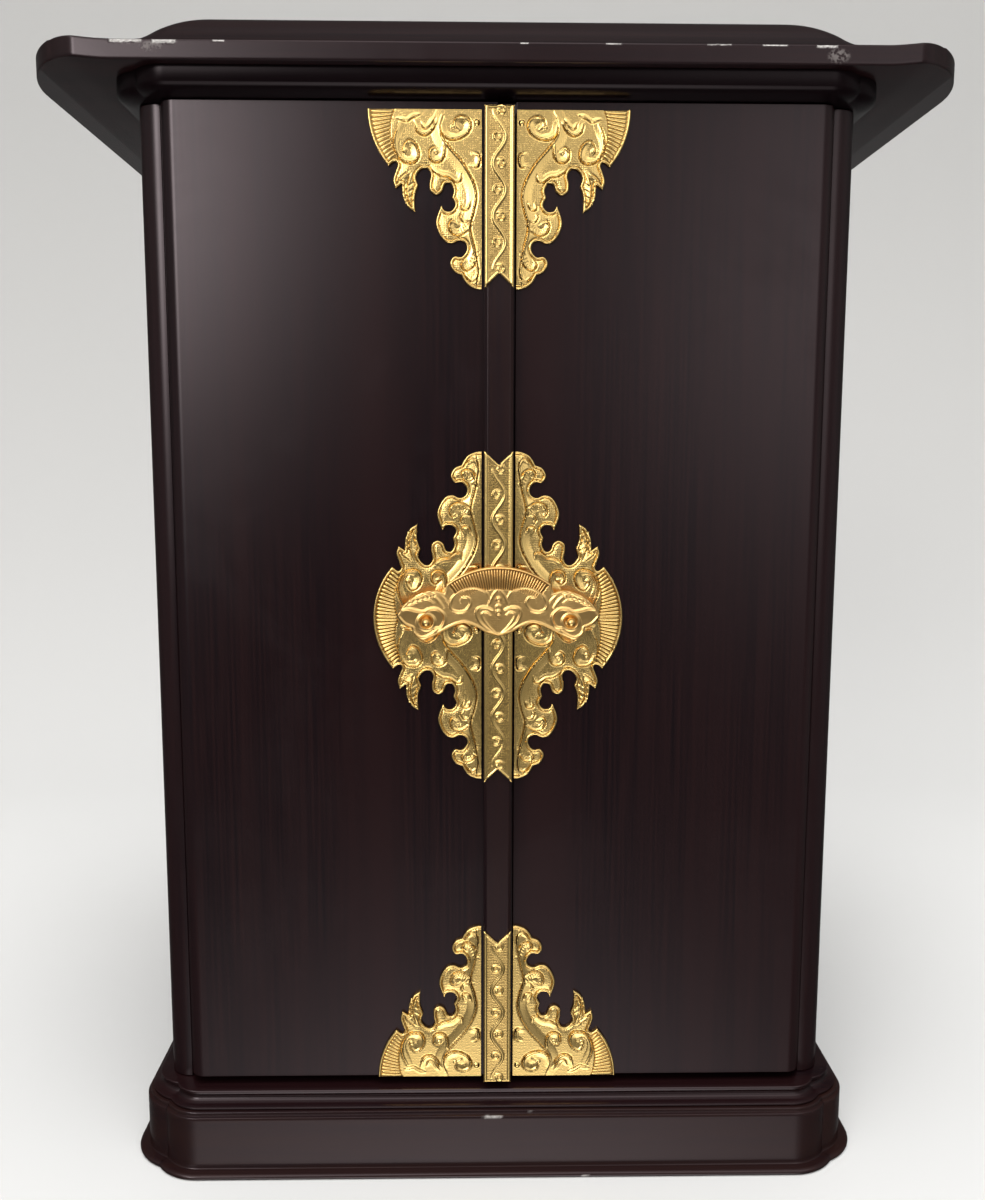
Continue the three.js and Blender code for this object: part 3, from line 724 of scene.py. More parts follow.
wood_piece("meeting_strip", meeting_strip(), Z, bevel=0.25, lacquer=BASE_LACQUER)


# ---- Pressed relief ----

PATH_STEP = 0.4  # how closely a chased line is followed
BEAD_MIDDLE, BEAD_HALF = 0.4, 0.55  # the round lip along a fold
GROOVE_MIDDLE, GROOVE_HALF, GROOVE_DEPTH = 0.32, 0.42, 0.3  # the fine groove on its other side
EDGE_FALL, EDGE_WIDTH = 0.3, 0.4  # how far a sheet's cut edge is rolled down, and over what width


def nearest(points, path):
    """For each point: its distance to a path, how far along the path that is, and on which side."""
    start, end = path[:-1], path[1:]
    run = end - start
    squared = np.maximum((run**2).sum(1), 1e-12)
    distance, along, side = (np.empty(len(points)) for _ in range(3))
    for first in range(0, len(points), 3000):  # in blocks, to spare the memory
        block = points[first:first + 3000, None, :]
        t = np.clip(((block - start) * run).sum(2) / squared, 0, 1)
        offset = block - (start + t[..., None] * run)
        reach = np.hypot(offset[..., 0], offset[..., 1])
        best = reach.argmin(1)
        rows = np.arange(len(best))
        distance[first:first + 3000] = reach[rows, best]
        along[first:first + 3000] = (best + t[rows, best]) / len(run)
        picked, way = offset[rows, best], run[best]
        side[first:first + 3000] = np.sign(way[:, 0] * picked[:, 1] - way[:, 1] * picked[:, 0])
    return distance, along, side


def crest_height(points, path, left, right, height, ends=(0.3, 0.3)):
    """A pressed ridge: left and right are how far its flanks reach to either side of the crest."""
    distance, along, side = nearest(points, spline(path, PATH_STEP))
    start, end = ends
    swell = np.minimum(1, np.minimum(start + along * 4, end + (1 - along) * 4))
    flank = np.where(side > 0, left, right) * (0.4 + 0.6 * swell)
    share = np.clip(1 - distance / flank, 0, 1)
    return height * swell * np.sin(share * math.pi / 2) ** 1.3


def fold(points, path, shoulder, height, side):
    """A pressed lip: it swells gently on one side of its line and drops into a fine groove on the other."""
    distance, along, which = nearest(points, spline(path, PATH_STEP))
    swell = np.minimum(1, np.minimum(0.35 + along * 4, 0.35 + (1 - along) * 4))
    bead = np.clip(1 - ((distance - BEAD_MIDDLE) / BEAD_HALF) ** 2, 0, 1)
    body = np.clip(1 - distance / shoulder, 0, 1) ** 0.7 * np.clip(0.3 + distance / 0.6, 0, 1)
    lip = height * swell * (0.42 * bead + 0.62 * body)
    groove = GROOVE_DEPTH * swell * np.clip(1 - np.abs(distance - GROOVE_MIDDLE) / GROOVE_HALF, 0, 1)
    high = which * side > 0
    return np.where(high, lip, 0), np.where(high, 0, groove)


def flutes(points, path, shoulder, side, pitch, depth):
    """Fine parallel cuts that fan out from a fold on its swelling side."""
    line = spline(path, PATH_STEP)
    distance, along, which = nearest(points, line)
    length = np.hypot(*np.diff(line, axis=0).T).sum()
    wave = np.abs(((along * length + 0.35 * distance) / pitch) % 1 * 2 - 1)
    reach = np.clip((distance - 0.7) / 0.5, 0, 1) * np.clip((shoulder - distance) / 0.8, 0, 1)
    return np.where(which * side > 0, depth * reach * np.clip(1 - wave * 2.2, 0, 1), 0)


def rolled_down(to_edge):
    """How far a sheet falls towards its cut edge."""
    return EDGE_FALL * np.clip(1 - to_edge / EDGE_WIDTH, 0, 1)


def dome(points, centre, radius, height):
    """A round boss."""
    reach = np.hypot(points[:, 0] - centre[0], points[:, 1] - centre[1]) / radius
    return height * np.sqrt(np.clip(1 - reach**2, 0, 1))


def ring_of(outline):
    """An outline with its first point again at the end."""
    return np.vstack([outline, outline[:1]])


def inside(points, outline):
    """Which points lie within a closed outline."""
    x, y = points[:, :1], points[:, 1:]
    x0, y0 = outline[:, 0], outline[:, 1]
    x1, y1 = np.roll(x0, -1), np.roll(y0, -1)
    crosses = (y0 <= y) != (y1 <= y)
    with np.errstate(divide="ignore", invalid="ignore"):
        at = x0 + (y - y0) / (y1 - y0) * (x1 - x0)
    return (crosses & (x < at)).sum(1) % 2 == 1


def sheet_points(outline, spacing, holes=()):
    """A triangulated sheet within an outline: its points and triangles."""
    low, high = outline.min(0), outline.max(0)
    rows = np.arange(low[1] + spacing / 2, high[1], spacing * 0.866)
    grid = []
    for k, row in enumerate(rows):
        across = np.arange(low[0] + spacing * (0.5 if k % 2 else 0.99), high[0], spacing)
        grid.append(np.stack([across, np.full(len(across), row)], 1))
    grid = np.vstack(grid)
    grid = grid[inside(grid, outline)]
    loops = [outline, *holes]
    for loop in loops:
        grid = grid[nearest(grid, ring_of(loop))[0] > spacing * 0.55]
    for hole in holes:
        grid = grid[~inside(grid, hole)]
    edges, start = [], 0
    for loop in loops:
        edges += [(start + i, start + (i + 1) % len(loop)) for i in range(len(loop))]
        start += len(loop)
    flat = np.vstack([*loops, grid])
    points, _, triangles, *_ = delaunay_2d_cdt([Vector(p) for p in flat], edges, [], 0, 1e-5, False)
    points = np.array([tuple(p) for p in points])
    triangles = np.array(triangles)
    middles = points[triangles].mean(1)
    keep = inside(middles, outline)
    for hole in holes:
        keep &= ~inside(middles, hole)
    return points, triangles[keep]


def relief_mesh(name, points, triangles, front, back, place, values):
    """A pressed sheet, still open round its edge: front gives each point's depth, place turns a point into x
    and height.
    """
    mesh = bpy.data.meshes.new(name)
    spots = [place(u, v) for u, v in points]
    mesh.from_pydata([(x * MM, (y + DOOR_FACE) * MM, z * MM) for (x, z), y in zip(spots, front)], [],
                     [tuple(t) for t in triangles])
    note_values(mesh, **values)
    return mesh, (back + DOOR_FACE) * MM


def close_sheet(name, sheets, back):
    """Welds sheets into one, then gives it a wall round its edge and a flat back."""
    shell = bmesh.new()
    for sheet in sheets:
        shell.from_mesh(sheet)
    bmesh.ops.remove_doubles(shell, verts=shell.verts, dist=0.01 * MM)
    rim = [edge for edge in shell.edges if edge.is_boundary]
    made = bmesh.ops.extrude_edge_only(shell, edges=rim)["geom"]
    for vertex in (item for item in made if isinstance(item, bmesh.types.BMVert)):
        vertex.co.y = back
    hem = [item for item in made if isinstance(item, bmesh.types.BMEdge)]
    bmesh.ops.triangle_fill(shell, edges=[e for e in hem if e.is_boundary], use_beauty=True)
    bmesh.ops.recalc_face_normals(shell, faces=shell.faces)
    mesh = bpy.data.meshes.new(name)
    shell.to_mesh(mesh)
    shell.free()
    mesh.shade_smooth()
    mesh.set_sharp_from_angle(angle=math.radians(50))
    return mesh


# ---- Door plates ----

RELIEF_SPACING = 0.35
PLATE_INNER = lowest("upper_right_plate", X)
PLATE_HEIGHT = highest("upper_right_plate", Z) - lowest("upper_right_plate", Z)
PLATE_THICKNESS = 1.0
PLATE_LOW = lowest("lower_right_plate", Z)
PLATE_MIDDLE = (lowest("middle_right_plate", Z) + highest("middle_right_plate", Z)) / 2
PLATE_TOP = highest("upper_right_plate", Z)
FAN_X, FAN_RADIUS, FAN_HALF_ANGLE = 21.8, 37.0, math.radians(41)
FAN_INNER = 25.0  # where the ribs start on the middle line, and how much further out per radian off it
FAN_INNER_SLOPE = 9.8
FAN_RIBS = 13  # in each quarter
RAY_STEP = math.radians(3)
RIM_WIDTH = 1.15
BELLY_HEIGHT = 0.7  # how far the sheet is bellied out between its edges

# A quarter of the leafy medallion: distance from the cabinet's middle line and rise above the quarter's
# straight edge. Each run is smooth and ends in a corner.
quarter_runs = [
    [[PLATE_INNER, PLATE_HEIGHT], [11, 77.6], [14.6, 75.7], [17.2, 71.6]],
    [[17.2, 71.6], [20.4, 70.2], [22.2, 66.6], [20.4, 63.6], [17, 63.7], [14.8, 61], [15.1, 58],
     [17.8, 56.5], [21.2, 57.7], [24.4, 57], [27, 53.8], [28.5, 49.4], [27.8, 45.4], [26, 41.4]],
    [[26, 41.4], [24.4, 43.6], [21.6, 43.6], [19.8, 41], [21.2, 37.8]],
    [[21.2, 37.8], [20.5, 34.6], [22, 31.6], [24.4, 32], [25.8, 35.2], [28.4, 36.6], [31, 35],
     [31.3, 31.6], [30.7, 28], [32.4, 25.3], [35, 25.6], [37.4, 28.9], [36.4, 32.7]],
    [[36.4, 32.7], [37.9, 37.4], [37.8, 44.2]],
    [[37.8, 44.2], [41.2, 42], [43.4, 37.4], [43.6, 31.8]],
    [[43.6, 31.8], [46.6, 34]],
    [[46.6, 34], [47.6, 30.4], [46.4, 26.4], [45.5, 23.9], [46.9, 22.3], [49.7, 24.3]],
]

# Folds: path, reach of the swell, height, which side of the path swells (1 is its left).
quarter_folds = [
    # the long S-shaped stem, down to its spiral
    ([[10.4, 76], [9.4, 70], [10.8, 61], [12.9, 51], [11.2, 43.6], [10.1, 37], [11.8, 30.4], [16.3, 22.8],
      [21.6, 16.8], [25.4, 11.6], [26.4, 7], [25.2, 3]], 4.6, 0.95, 1),
    # the spiral beside the meeting edge
    ([[26.4, 6.4], [25.6, 10.4], [22.6, 12.8], [18.2, 12.6], [14.2, 10.4], [12.6, 7], [13.8, 4], [17, 2.8],
      [19.8, 4], [20.4, 6.8], [18.6, 8.4]], 3.0, 0.85, 1),
    # the big volute beside the fan
    ([[44.9, 6.2], [47, 11.4], [47.2, 16], [45.9, 19.6], [43.3, 22.4], [40.3, 23.2], [37.7, 22.7],
      [35.9, 20.2], [36.2, 17.1], [37.7, 14.5], [40.3, 13.2], [42.1, 14.5], [43.1, 17], [42.6, 18.6]],
     3.4, 1.0, 1),
    # the spiral between the volute and the stem
    ([[25, 12.6], [24.2, 17], [25.2, 21.4], [28.2, 22.8], [31, 21.4], [31.4, 18], [29.6, 16.1], [28, 17.1]],
     2.8, 0.9, -1),
    # the hooks in the cloud over the gap
    ([[16.4, 40.2], [16.9, 42.9], [14, 42.9], [12.7, 39.6]], 2.4, 0.7, 1),
    ([[30, 26.2], [26.6, 28.4], [23, 29], [19.6, 31.2], [17.4, 30.6], [17, 28]], 2.6, 0.75, 1),
    # the curl in the upper cloud
    ([[12.6, 50.4], [14.6, 52.6], [18, 54.4], [21.4, 53.4], [22.9, 50.2], [21.6, 47.8], [19.6, 48.6]],
     3.2, 0.9, -1),
    ([[13.2, 47.6], [16, 48.6], [17.6, 46.4], [16.6, 44.6]], 2.0, 0.6, -1),
    # the curls in the tip
    ([[9.8, 63.8], [12, 68.4], [15.4, 69.6], [17.2, 67.4], [16, 65.2]], 3.0, 0.85, -1),
    ([[9.2, 69.5], [10, 73], [12.4, 74.6], [14.4, 72.8]], 2.4, 0.7, -1),
    # the feather over the straight edge
    ([[37.7, 6.4], [36.6, 9.8], [33.4, 11.2], [30.4, 9.6], [27.4, 5.2]], 3.0, 0.85, 1),
    ([[34.8, 6.2], [33.4, 8.2], [31.2, 7.2], [28.8, 3.8]], 1.8, 0.5, 1),
    # the leaf under the volute
    ([[45, 4.2], [41.4, 5.2], [38.6, 3.6], [36, 2.6]], 1.8, 0.5, 1),
    # the long leaf: its mid-rib and the heart leaf under it
    ([[39.6, 27.6], [41.3, 33], [40.9, 38.4], [38.6, 43]], 2.6, 0.6, 1),
    ([[45.8, 32.4], [44.2, 29.4], [40.6, 26.9]], 2.2, 0.6, -1),
    # the little curl by the meeting edge
    ([[12, 24.6], [9.6, 24.6], [8.6, 22], [9, 19.4], [10.9, 18.6]], 2.4, 0.75, 1),
]
# Which folds carry fine cuts, and how far apart the cuts are.
quarter_flutes = [(6, 1.5), (8, 1.5)]
FLUTE_DEPTH = 0.2
# Round bosses: place, radius and height.
quarter_dots = [
    ((10.1, 5.6), 1.35, 0.8), ((20.6, 7.4), 1.0, 0.5), ((42.2, 17.6), 1.2, 0.6), ((28.4, 18), 1.0, 0.5),
]
# Veins chased into the long leaf, on either side of its mid-rib.
VEIN_WIDTH, VEIN_DEPTH, VEIN_PITCH = 0.5, 0.3, 2.6
quarter_veins = [[[38.4, 31.4 + VEIN_PITCH * k], [40.9, 33.2 + VEIN_PITCH * k]] for k in range(4)]
quarter_veins += [[[41.6, 31.6 + VEIN_PITCH * k], [43.4 - 0.5 * k, 33.8 + VEIN_PITCH * k]] for k in range(4)]

fan_steps = 90
fan_turns = [FAN_HALF_ANGLE * (1 - i / fan_steps) for i in range(1, fan_steps + 1)]
fan_edge = [(FAN_X + FAN_RADIUS * math.cos(turn), FAN_RADIUS * math.sin(turn)) for turn in fan_turns]
leaf_edge = joined_runs(quarter_runs, RELIEF_SPACING)
fan_tip = FAN_X + FAN_RADIUS
straight_edge = [(x, 0.0) for x in np.arange(fan_tip - RELIEF_SPACING, PLATE_INNER, -RELIEF_SPACING)]
meeting_edge = [(PLATE_INNER, t) for t in np.arange(0, PLATE_HEIGHT - 0.2, RELIEF_SPACING)]
quarter_outline = np.vstack([leaf_edge, fan_edge, straight_edge, meeting_edge])


def quarter_relief(points):
    """Height of the pressed relief over the quarter, where its punched ground shows, and how clean it is."""
    raised = np.zeros(len(points))
    cut = np.zeros(len(points))
    for path, shoulder, height, side in quarter_folds:
        lip, groove = fold(points, path, shoulder, height, side)
        raised = np.maximum(raised, lip)
        cut = np.maximum(cut, groove)
    for index, pitch in quarter_flutes:
        path, shoulder, height, side = quarter_folds[index]
        cut = np.maximum(cut, flutes(points, path, shoulder, side, pitch, FLUTE_DEPTH))
    for centre, radius, height in quarter_dots:
        raised = np.maximum(raised, dome(points, centre, radius, height))
    edge = np.vstack([leaf_edge, fan_edge])
    to_edge = nearest(points, edge)[0]
    rim = np.clip((RIM_WIDTH - to_edge) / 0.2, 0, 1) * np.clip(to_edge / 0.4 + 0.2, 0, 1)
    rim_groove = 0.25 * np.clip(1 - np.abs(to_edge - 1.35) / 0.35, 0, 1)
    belly = BELLY_HEIGHT * (1 - np.exp(-np.maximum(to_edge - 1.4, 0) / 2.2))
    dx, dz = points[:, 0] - FAN_X, points[:, 1]
    radius, angle = np.hypot(dx, dz), np.arctan2(dz, dx)
    inner = FAN_INNER + FAN_INNER_SLOPE * np.abs(angle)
    in_fan = (np.abs(angle) < FAN_HALF_ANGLE) & (radius > inner) & (raised < 0.3)
    height = belly * 0.6 + np.where(raised > 0.05, raised, 0) - cut
    height = np.where(in_fan, 0.05, height)
    height = np.where(to_edge < RIM_WIDTH, 0.45 * rim + 0.05, height - rim_groove * ~in_fan)
    for path in quarter_veins:
        height -= crest_height(points, path, VEIN_WIDTH, VEIN_WIDTH, VEIN_DEPTH)
    smooth_place = in_fan | (to_edge < 1.3)
    plain = np.clip(1 - raised / 0.4, 0, 1) * ~smooth_place
    dirt = cut / GROOVE_DEPTH + rim_groove * 2.5 + in_fan * 0.7 * (to_edge > RIM_WIDTH)
    return np.maximum(height, -0.3), plain, 1 - np.clip(dirt, 0, 1)


# ---- Fan ribs ----

RIB_BASE_WIDTH, RIB_END_WIDTH = 0.62, 0.86
RIB_HEIGHT = 0.5


def rib_shape():
    """One rib, a unit long: a narrow half-round bar that swells outwards and is rounded at both ends."""
    # how far along, and the share of its full width and height there
    stations = [(0, 0.25, 0.1), (0.04, 0.75, 0.7), (0.12, 1, 1), (0.5, 1, 1), (0.88, 1, 1),
                (0.96, 0.75, 0.7), (1, 0.25, 0.1)]
    rows = []
    for along, wide, tall in stations:
        half = wide * (RIB_BASE_WIDTH + (RIB_END_WIDTH - RIB_BASE_WIDTH) * along)
        rows.append([(along, -tall * RIB_HEIGHT * math.sin(a), half * math.cos(a))
                     for a in (math.radians(30 * i) for i in range(7))])
    vertices, faces = loft(rows)
    mesh = bpy.data.meshes.new("rib_shape")
    mesh.from_pydata([(x, y * MM, z * MM) for x, y, z in vertices], [], faces)
    shell = bmesh.new()
    shell.from_mesh(mesh)
    bmesh.ops.recalc_face_normals(shell, faces=shell.faces)
    shell.to_mesh(mesh)
    shell.free()
    mesh.shade_smooth()
    return mesh


def rib_tree():
    """Nodes that set ribs side by side round an arc, each one pointing away from the centre."""
    tree = bpy.data.node_groups.new("fan_of_ribs", "GeometryNodeTree")
    tree.interface.new_socket("Geometry", in_out="INPUT", socket_type="NodeSocketGeometry")
    for word, kind in (("Ribs", "NodeSocketInt"), ("First Angle", "NodeSocketFloat"),
                       ("Step Angle", "NodeSocketFloat"), ("Inner Radius", "NodeSocketFloat"),
                       ("Inner Slope", "NodeSocketFloat"), ("Outer Radius", "NodeSocketFloat"),
                       ("Width", "NodeSocketFloat"), ("Metal", "NodeSocketMaterial")):
        tree.interface.new_socket(word, in_out="INPUT", socket_type=kind)
    tree.interface.new_socket("Geometry", in_out="OUTPUT", socket_type="NodeSocketGeometry")
    given = add_node(tree, "NodeGroupInput").outputs
    row = add_node(tree, "GeometryNodeMeshLine", Count=given["Ribs"]).outputs[0]
    number = add_node(tree, "GeometryNodeInputIndex").outputs[0]
    angle = add_node(tree, "ShaderNodeMath", operation="MULTIPLY_ADD", i0=number, i1=given["Step Angle"],
                     i2=given["First Angle"]).outputs[0]
    off_axis = add_node(tree, "ShaderNodeMath", operation="ABSOLUTE", i0=angle).outputs[0]
    start = add_node(tree, "ShaderNodeMath", operation="MULTIPLY_ADD", i0=off_axis,
                     i1=given["Inner Slope"], i2=given["Inner Radius"]).outputs[0]
    length = add_node(tree, "ShaderNodeMath", operation="SUBTRACT", i0=given["Outer Radius"],
                      i1=start).outputs[0]
    across = add_node(tree, "ShaderNodeMath", operation="COSINE", i0=angle).outputs[0]
    up = add_node(tree, "ShaderNodeMath", operation="SINE", i0=angle).outputs[0]
    way = add_node(tree, "ShaderNodeCombineXYZ", X=across, Z=up).outputs[0]
    spot = add_node(tree, "ShaderNodeVectorMath", operation="SCALE", i0=way, Scale=start).outputs[0]
    placed = add_node(tree, "GeometryNodeSetPosition", Geometry=row, Position=spot).outputs[0]
    back_turn = add_node(tree, "ShaderNodeMath", operation="MULTIPLY", i0=angle, i1=-1.0).outputs[0]
    turn = add_node(tree, "ShaderNodeCombineXYZ", Y=back_turn).outputs[0]
    size = add_node(tree, "ShaderNodeCombineXYZ", X=length, Y=1.0, Z=given["Width"]).outputs[0]
    ribs = add_node(tree, "GeometryNodeInstanceOnPoints", Points=placed, Instance=given["Geometry"],
                    Rotation=turn, Scale=size).outputs[0]
    solid = add_node(tree, "GeometryNodeRealizeInstances", Geometry=ribs).outputs[0]
    clean = add_node(tree, "GeometryNodeStoreNamedAttribute", data_type="FLOAT", domain="POINT",
                     Geometry=solid, Name="crest", Value=0.9).outputs[0]
    gilded = add_node(tree, "GeometryNodeSetMaterial", Geometry=clean, Material=given["Metal"]).outputs[0]
    add_node(tree, "NodeGroupOutput", Geometry=gilded)
    return tree


RIB_TREE = rib_tree()


def rib_fan(name, metal, ribs, first, step, inner, slope, outer, width):
    """A fan of ribs round the origin, in metres, as a plain mesh."""
    maker = bpy.data.objects.new(name, rib_shape())
    bpy.context.scene.collection.objects.link(maker)
    nodes = maker.modifiers.new("fan_of_ribs", "NODES")
    nodes.node_group = RIB_TREE
    sizes = {"Ribs": ribs, "First Angle": first, "Step Angle": step, "Inner Radius": inner * MM,
             "Inner Slope": slope * MM, "Outer Radius": outer * MM, "Width": width, "Metal": metal}
    for socket in RIB_TREE.interface.items_tree:
        if socket.in_out == "INPUT" and socket.name in sizes:
            nodes[socket.identifier] = sizes[socket.name]
    finished = maker.evaluated_get(bpy.context.evaluated_depsgraph_get())
    mesh = bpy.data.meshes.new_from_object(finished)
    bpy.data.objects.remove(maker)
    mesh.name = name
    return mesh


def set_ribs(mesh, x, depth, z, side, way):
    """Ribs put in their place, and turned over for the other side."""
    mesh.transform(Matrix.Translation((x * MM, (depth + DOOR_FACE) * MM, z * MM))
                   @ Matrix.Diagonal((side, 1, way, 1)))
    if side * way < 0:
        mesh.flip_normals()
    return mesh


def joined(name, meshes):
    """Several meshes as one."""
    shell = bmesh.new()
    for mesh in meshes:
        shell.from_mesh(mesh)
    whole = bpy.data.meshes.new(name)
    shell.to_mesh(whole)
    shell.free()
    whole.shade_smooth()
    return whole


quarter_points, quarter_triangles = sheet_points(quarter_outline, RELIEF_SPACING)
quarter_height, quarter_ground, quarter_crest = quarter_relief(quarter_points)


def plate(name, side, parts):
    """A plate made of one or two quarters, each one at its line and turned up or down."""
    sheets = []
    for line, way in parts:
        sheet, back = relief_mesh(
            name, quarter_points, quarter_triangles, -GAP - PLATE_THICKNESS - quarter_height, -GAP,
            lambda u, v: (side * u, line + way * v),
            {"ground": quarter_ground, "crest": np.clip(quarter_crest, 0, 1)})
        if side * way > 0:
            sheet.flip_normals()
        sheets.append(sheet)
    add_piece(name + "_pressed", close_sheet(name, sheets, back), name, GILT)
    fans = []
    for line, way in parts:
        ribs = rib_fan(name, GILT, FAN_RIBS, RAY_STEP / 2, RAY_STEP, FAN_INNER, FAN_INNER_SLOPE,
                       FAN_RADIUS - 1.3, 0.85)
        fans.append(set_ribs(ribs, side * FAN_X, -GAP - PLATE_THICKNESS - 0.1, line, side, way))
    add_piece(name + "_ribs", joined(name + "_ribs", fans), name, GILT)


for word, side in (("left", -1), ("right", 1)):
    plate(f"upper_{word}_plate", side, [(PLATE_TOP, -1)])
    plate(f"middle_{word}_plate", side, [(PLATE_MIDDLE, 1), (PLATE_MIDDLE, -1)])
    plate(f"lower_{word}_plate", side, [(PLATE_LOW, 1)])


# ---- Strip covers: a running vine between plain borders ----

def spiral(centre, outer, inner, start, turn):
    """Points that wind inwards round a centre, from angle start through turn, both in degrees."""
    steps = max(6, round(abs(turn) / 30))
    points = []
    for i in range(steps + 1):
        angle = math.radians(start + turn * i / steps)
        radius = outer + (inner - outer) * (i / steps) ** 0.8
        points.append([centre[0] + radius * math.cos(angle), centre[1] + radius * math.sin(angle)])
    return points


COVER_THICKNESS = 0.7
COVER_NOTCH = 6.2
COVER_BORDER = 1.7  # plain margin beside the vine
VINE_REACH = 2.8
VINE_HALF_WAVE = 11.6
VINE_MARGIN = 2.0  # from the vine's ends to the ends of the cover


def strip_cover(node, notch_below, notch_above):
    """A cover on the meeting strip, with a swallow-tail notch at one end or both."""
    half = highest(node, X)
    low, high = lowest(node, Z), highest(node, Z)
    back = highest(node, Y) - DOOR_FACE
    corners = [[half, low], [half, high]]
    corners += [[0, high - COVER_NOTCH]] if notch_above else []
    corners += [[-half, high], [-half, low]]
    corners += [[0, low + COVER_NOTCH]] if notch_below else []
    corners.append(corners[0])
    outline = joined_runs([list(side) for side in zip(corners, corners[1:])], RELIEF_SPACING)[:-1]
    points, triangles = sheet_points(outline, RELIEF_SPACING)
    first = low + (COVER_NOTCH if notch_below else 0) + VINE_MARGIN
    last = high - (COVER_NOTCH if notch_above else 0) - VINE_MARGIN
    waves = max(2, round((last - first) / VINE_HALF_WAVE))
    pitch = (last - first) / waves
    stem = [[VINE_REACH * -math.cos(math.pi * i / 6), first + i * pitch / 6] for i in range(6 * waves + 1)]
    raised = crest_height(points, stem, 0.85, 0.85, 0.6)
    for i in range(waves + 1):
        side = 1 if i % 2 else -1
        curl = spiral((-side * 0.7, first + i * pitch), 2.4, 0.9, 90 - side * 50, side * 380)
        raised = np.maximum(raised, crest_height(points, curl, 0.7, 0.55, 0.6))
    from_side = half - np.abs(points[:, 0])
    border = np.clip(1 - np.abs(from_side - COVER_BORDER / 2) / 0.75, 0, 1) ** 0.5
    raised = np.maximum(np.where(from_side > COVER_BORDER, raised, 0), 0.4 * border)
    to_edge = nearest(points, ring_of(outline))[0]
    raised = np.maximum(raised, 0.35 * np.clip(1 - np.abs(to_edge - 0.6) / 0.6, 0, 1))
    height = np.maximum(0.1 + raised - rolled_down(to_edge), 0)
    values = {"ground": np.clip(1 - raised / 0.2, 0, 1), "crest": np.clip(0.6 + raised, 0, 1)}
    sheet, wall = relief_mesh(node, points, triangles, back - COVER_THICKNESS - height, back,
                              lambda u, v: (u, v), values)
    add_piece(node + "_pressed", close_sheet(node, [sheet], wall), node, GILT)


strip_cover("upper_strip_cover", True, False)
strip_cover("middle_strip_cover", True, True)
strip_cover("lower_strip_cover", False, True)


# ---- Latch bar ----

LATCH_MIDDLE = 284.1
LATCH_BACK = highest("latch_bar", Y) - DOOR_FACE
LATCH_THICKNESS = 1.1
LATCH_FAN_LOW, LATCH_FAN_RADIUS, LATCH_FAN_HALF = -24.1, 40.0, 24.3
LATCH_RAY = math.radians(1.95)
LATCH_RIB_INNER = 29.6
LATCH_FAN_SHARE = 0.97  # how much of the fan's turn the ribs fill
LATCH_FIELD, LATCH_FAN_FLOOR = 0.25, 0.12  # heights of the plain sheet and of the floor under the ribs
DISH_RADIUS, DISH_DEPTH = 4.6, 0.12
BOSS_RADIUS, BOSS_HALF, BOSS_HEIGHT = 3.6, 1.3, 0.6  # the ring round each stud
LATCH_VEINS, LATCH_VEIN_WIDTH, LATCH_VEIN_DEPTH = 6, 0.45, 0.3
STUD_X = (lowest("right_stud", X) + highest("right_stud", X)) / 2
STUD_DROP = -9.7
STUD_HOLE = 2.6

# The right half of the bar, from the fan's end to the point under the lotus. Heights are from its middle.
latch_runs = [
    [[24.3, 7.6], [25.2, 4], [28.4, 4.8], [33, 4.5]],
    [[33, 4.5], [38.6, 2.2], [43.4, -1.4], [45.8, -4.8]],
    [[45.8, -4.8], [46.8, -7.2], [43.8, -10.8], [40, -12.6]],
    [[40, -12.6], [39, -15.6], [35.4, -18.2], [31, -16.8], [23, -12.7], [19, -10.9], [15.2, -10.4],
     [11, -11.8], [6, -14.4], [0, -16.2]],
]
# Ridges: path, how far the flanks reach on the left and on the right, and height.
latch_crests = [
    # the bead that runs over the round volute and winds into it
    ([[3.6, 0.4], [5.7, 4.1], [8.9, 5.7], [12.8, 6.1], [17.4, 4.8], [21, 1.8], [22.3, -1.4], [21.3, -4],
      [18.1, -5], [14.8, -4], [12.9, -0.8], [14.1, 1.6], [16.8, 1.6], [17.6, -0.4]], 0.8, 0.8, 0.6),
    # the pointed bud
    ([[0, 5.6], [2.4, 3.1], [4.2, -0.6], [5, -2.4]], 0.7, 0.7, 0.6),
    # the lotus: an outer petal and the line inside it
    ([[2.7, -4], [5.7, -2.7], [8.9, -3.1], [10.2, -5.3], [8.9, -9.3], [5.7, -12.5], [1, -15.4]],
     0.8, 0.8, 0.7),
    ([[3.4, -6.6], [5.6, -5], [7.6, -6], [6.4, -9.2], [3.7, -12.6], [1.6, -14.4]], 0.6, 0.6, 0.5),
    # the leaf over the stud and its fold
    ([[45.1, -2.6], [41.5, 1.5], [35.7, 3.6], [32.2, 3.2], [28.5, 0.8], [25.4, -3.2]], 0.8, 1.2, 0.6),
    ([[33.6, 4.4], [29.8, 4.2], [26.5, 2.4], [23.6, -0.6]], 0.6, 1.0, 0.5),
    ([[43.4, -3], [37, -0.2], [32.6, 0.8], [29.4, -1.2]], 0.6, 0.6, 0.4),
    # the rim of the dish round the stud
    ([[46, -4.6], [42.2, -3.6], [38.3, -4.4], [34.6, -5], [31.7, -3.8], [28.3, -3.8], [25.4, -6.2],
      [25, -9.4], [26.6, -12], [29.4, -12.2]], 0.7, 1.1, 0.75),
    # the lip under the dish
    ([[39.6, -13.6], [37.8, -16], [34.9, -17], [31.6, -15.8], [28.4, -13.6]], 0.8, 1.0, 0.6),
]
latch_beads = [((0, 0.9), 1.35, 0.9), ((0, -2.6), 1.5, 0.55), ((0, -5.0), 1.45, 0.9)]

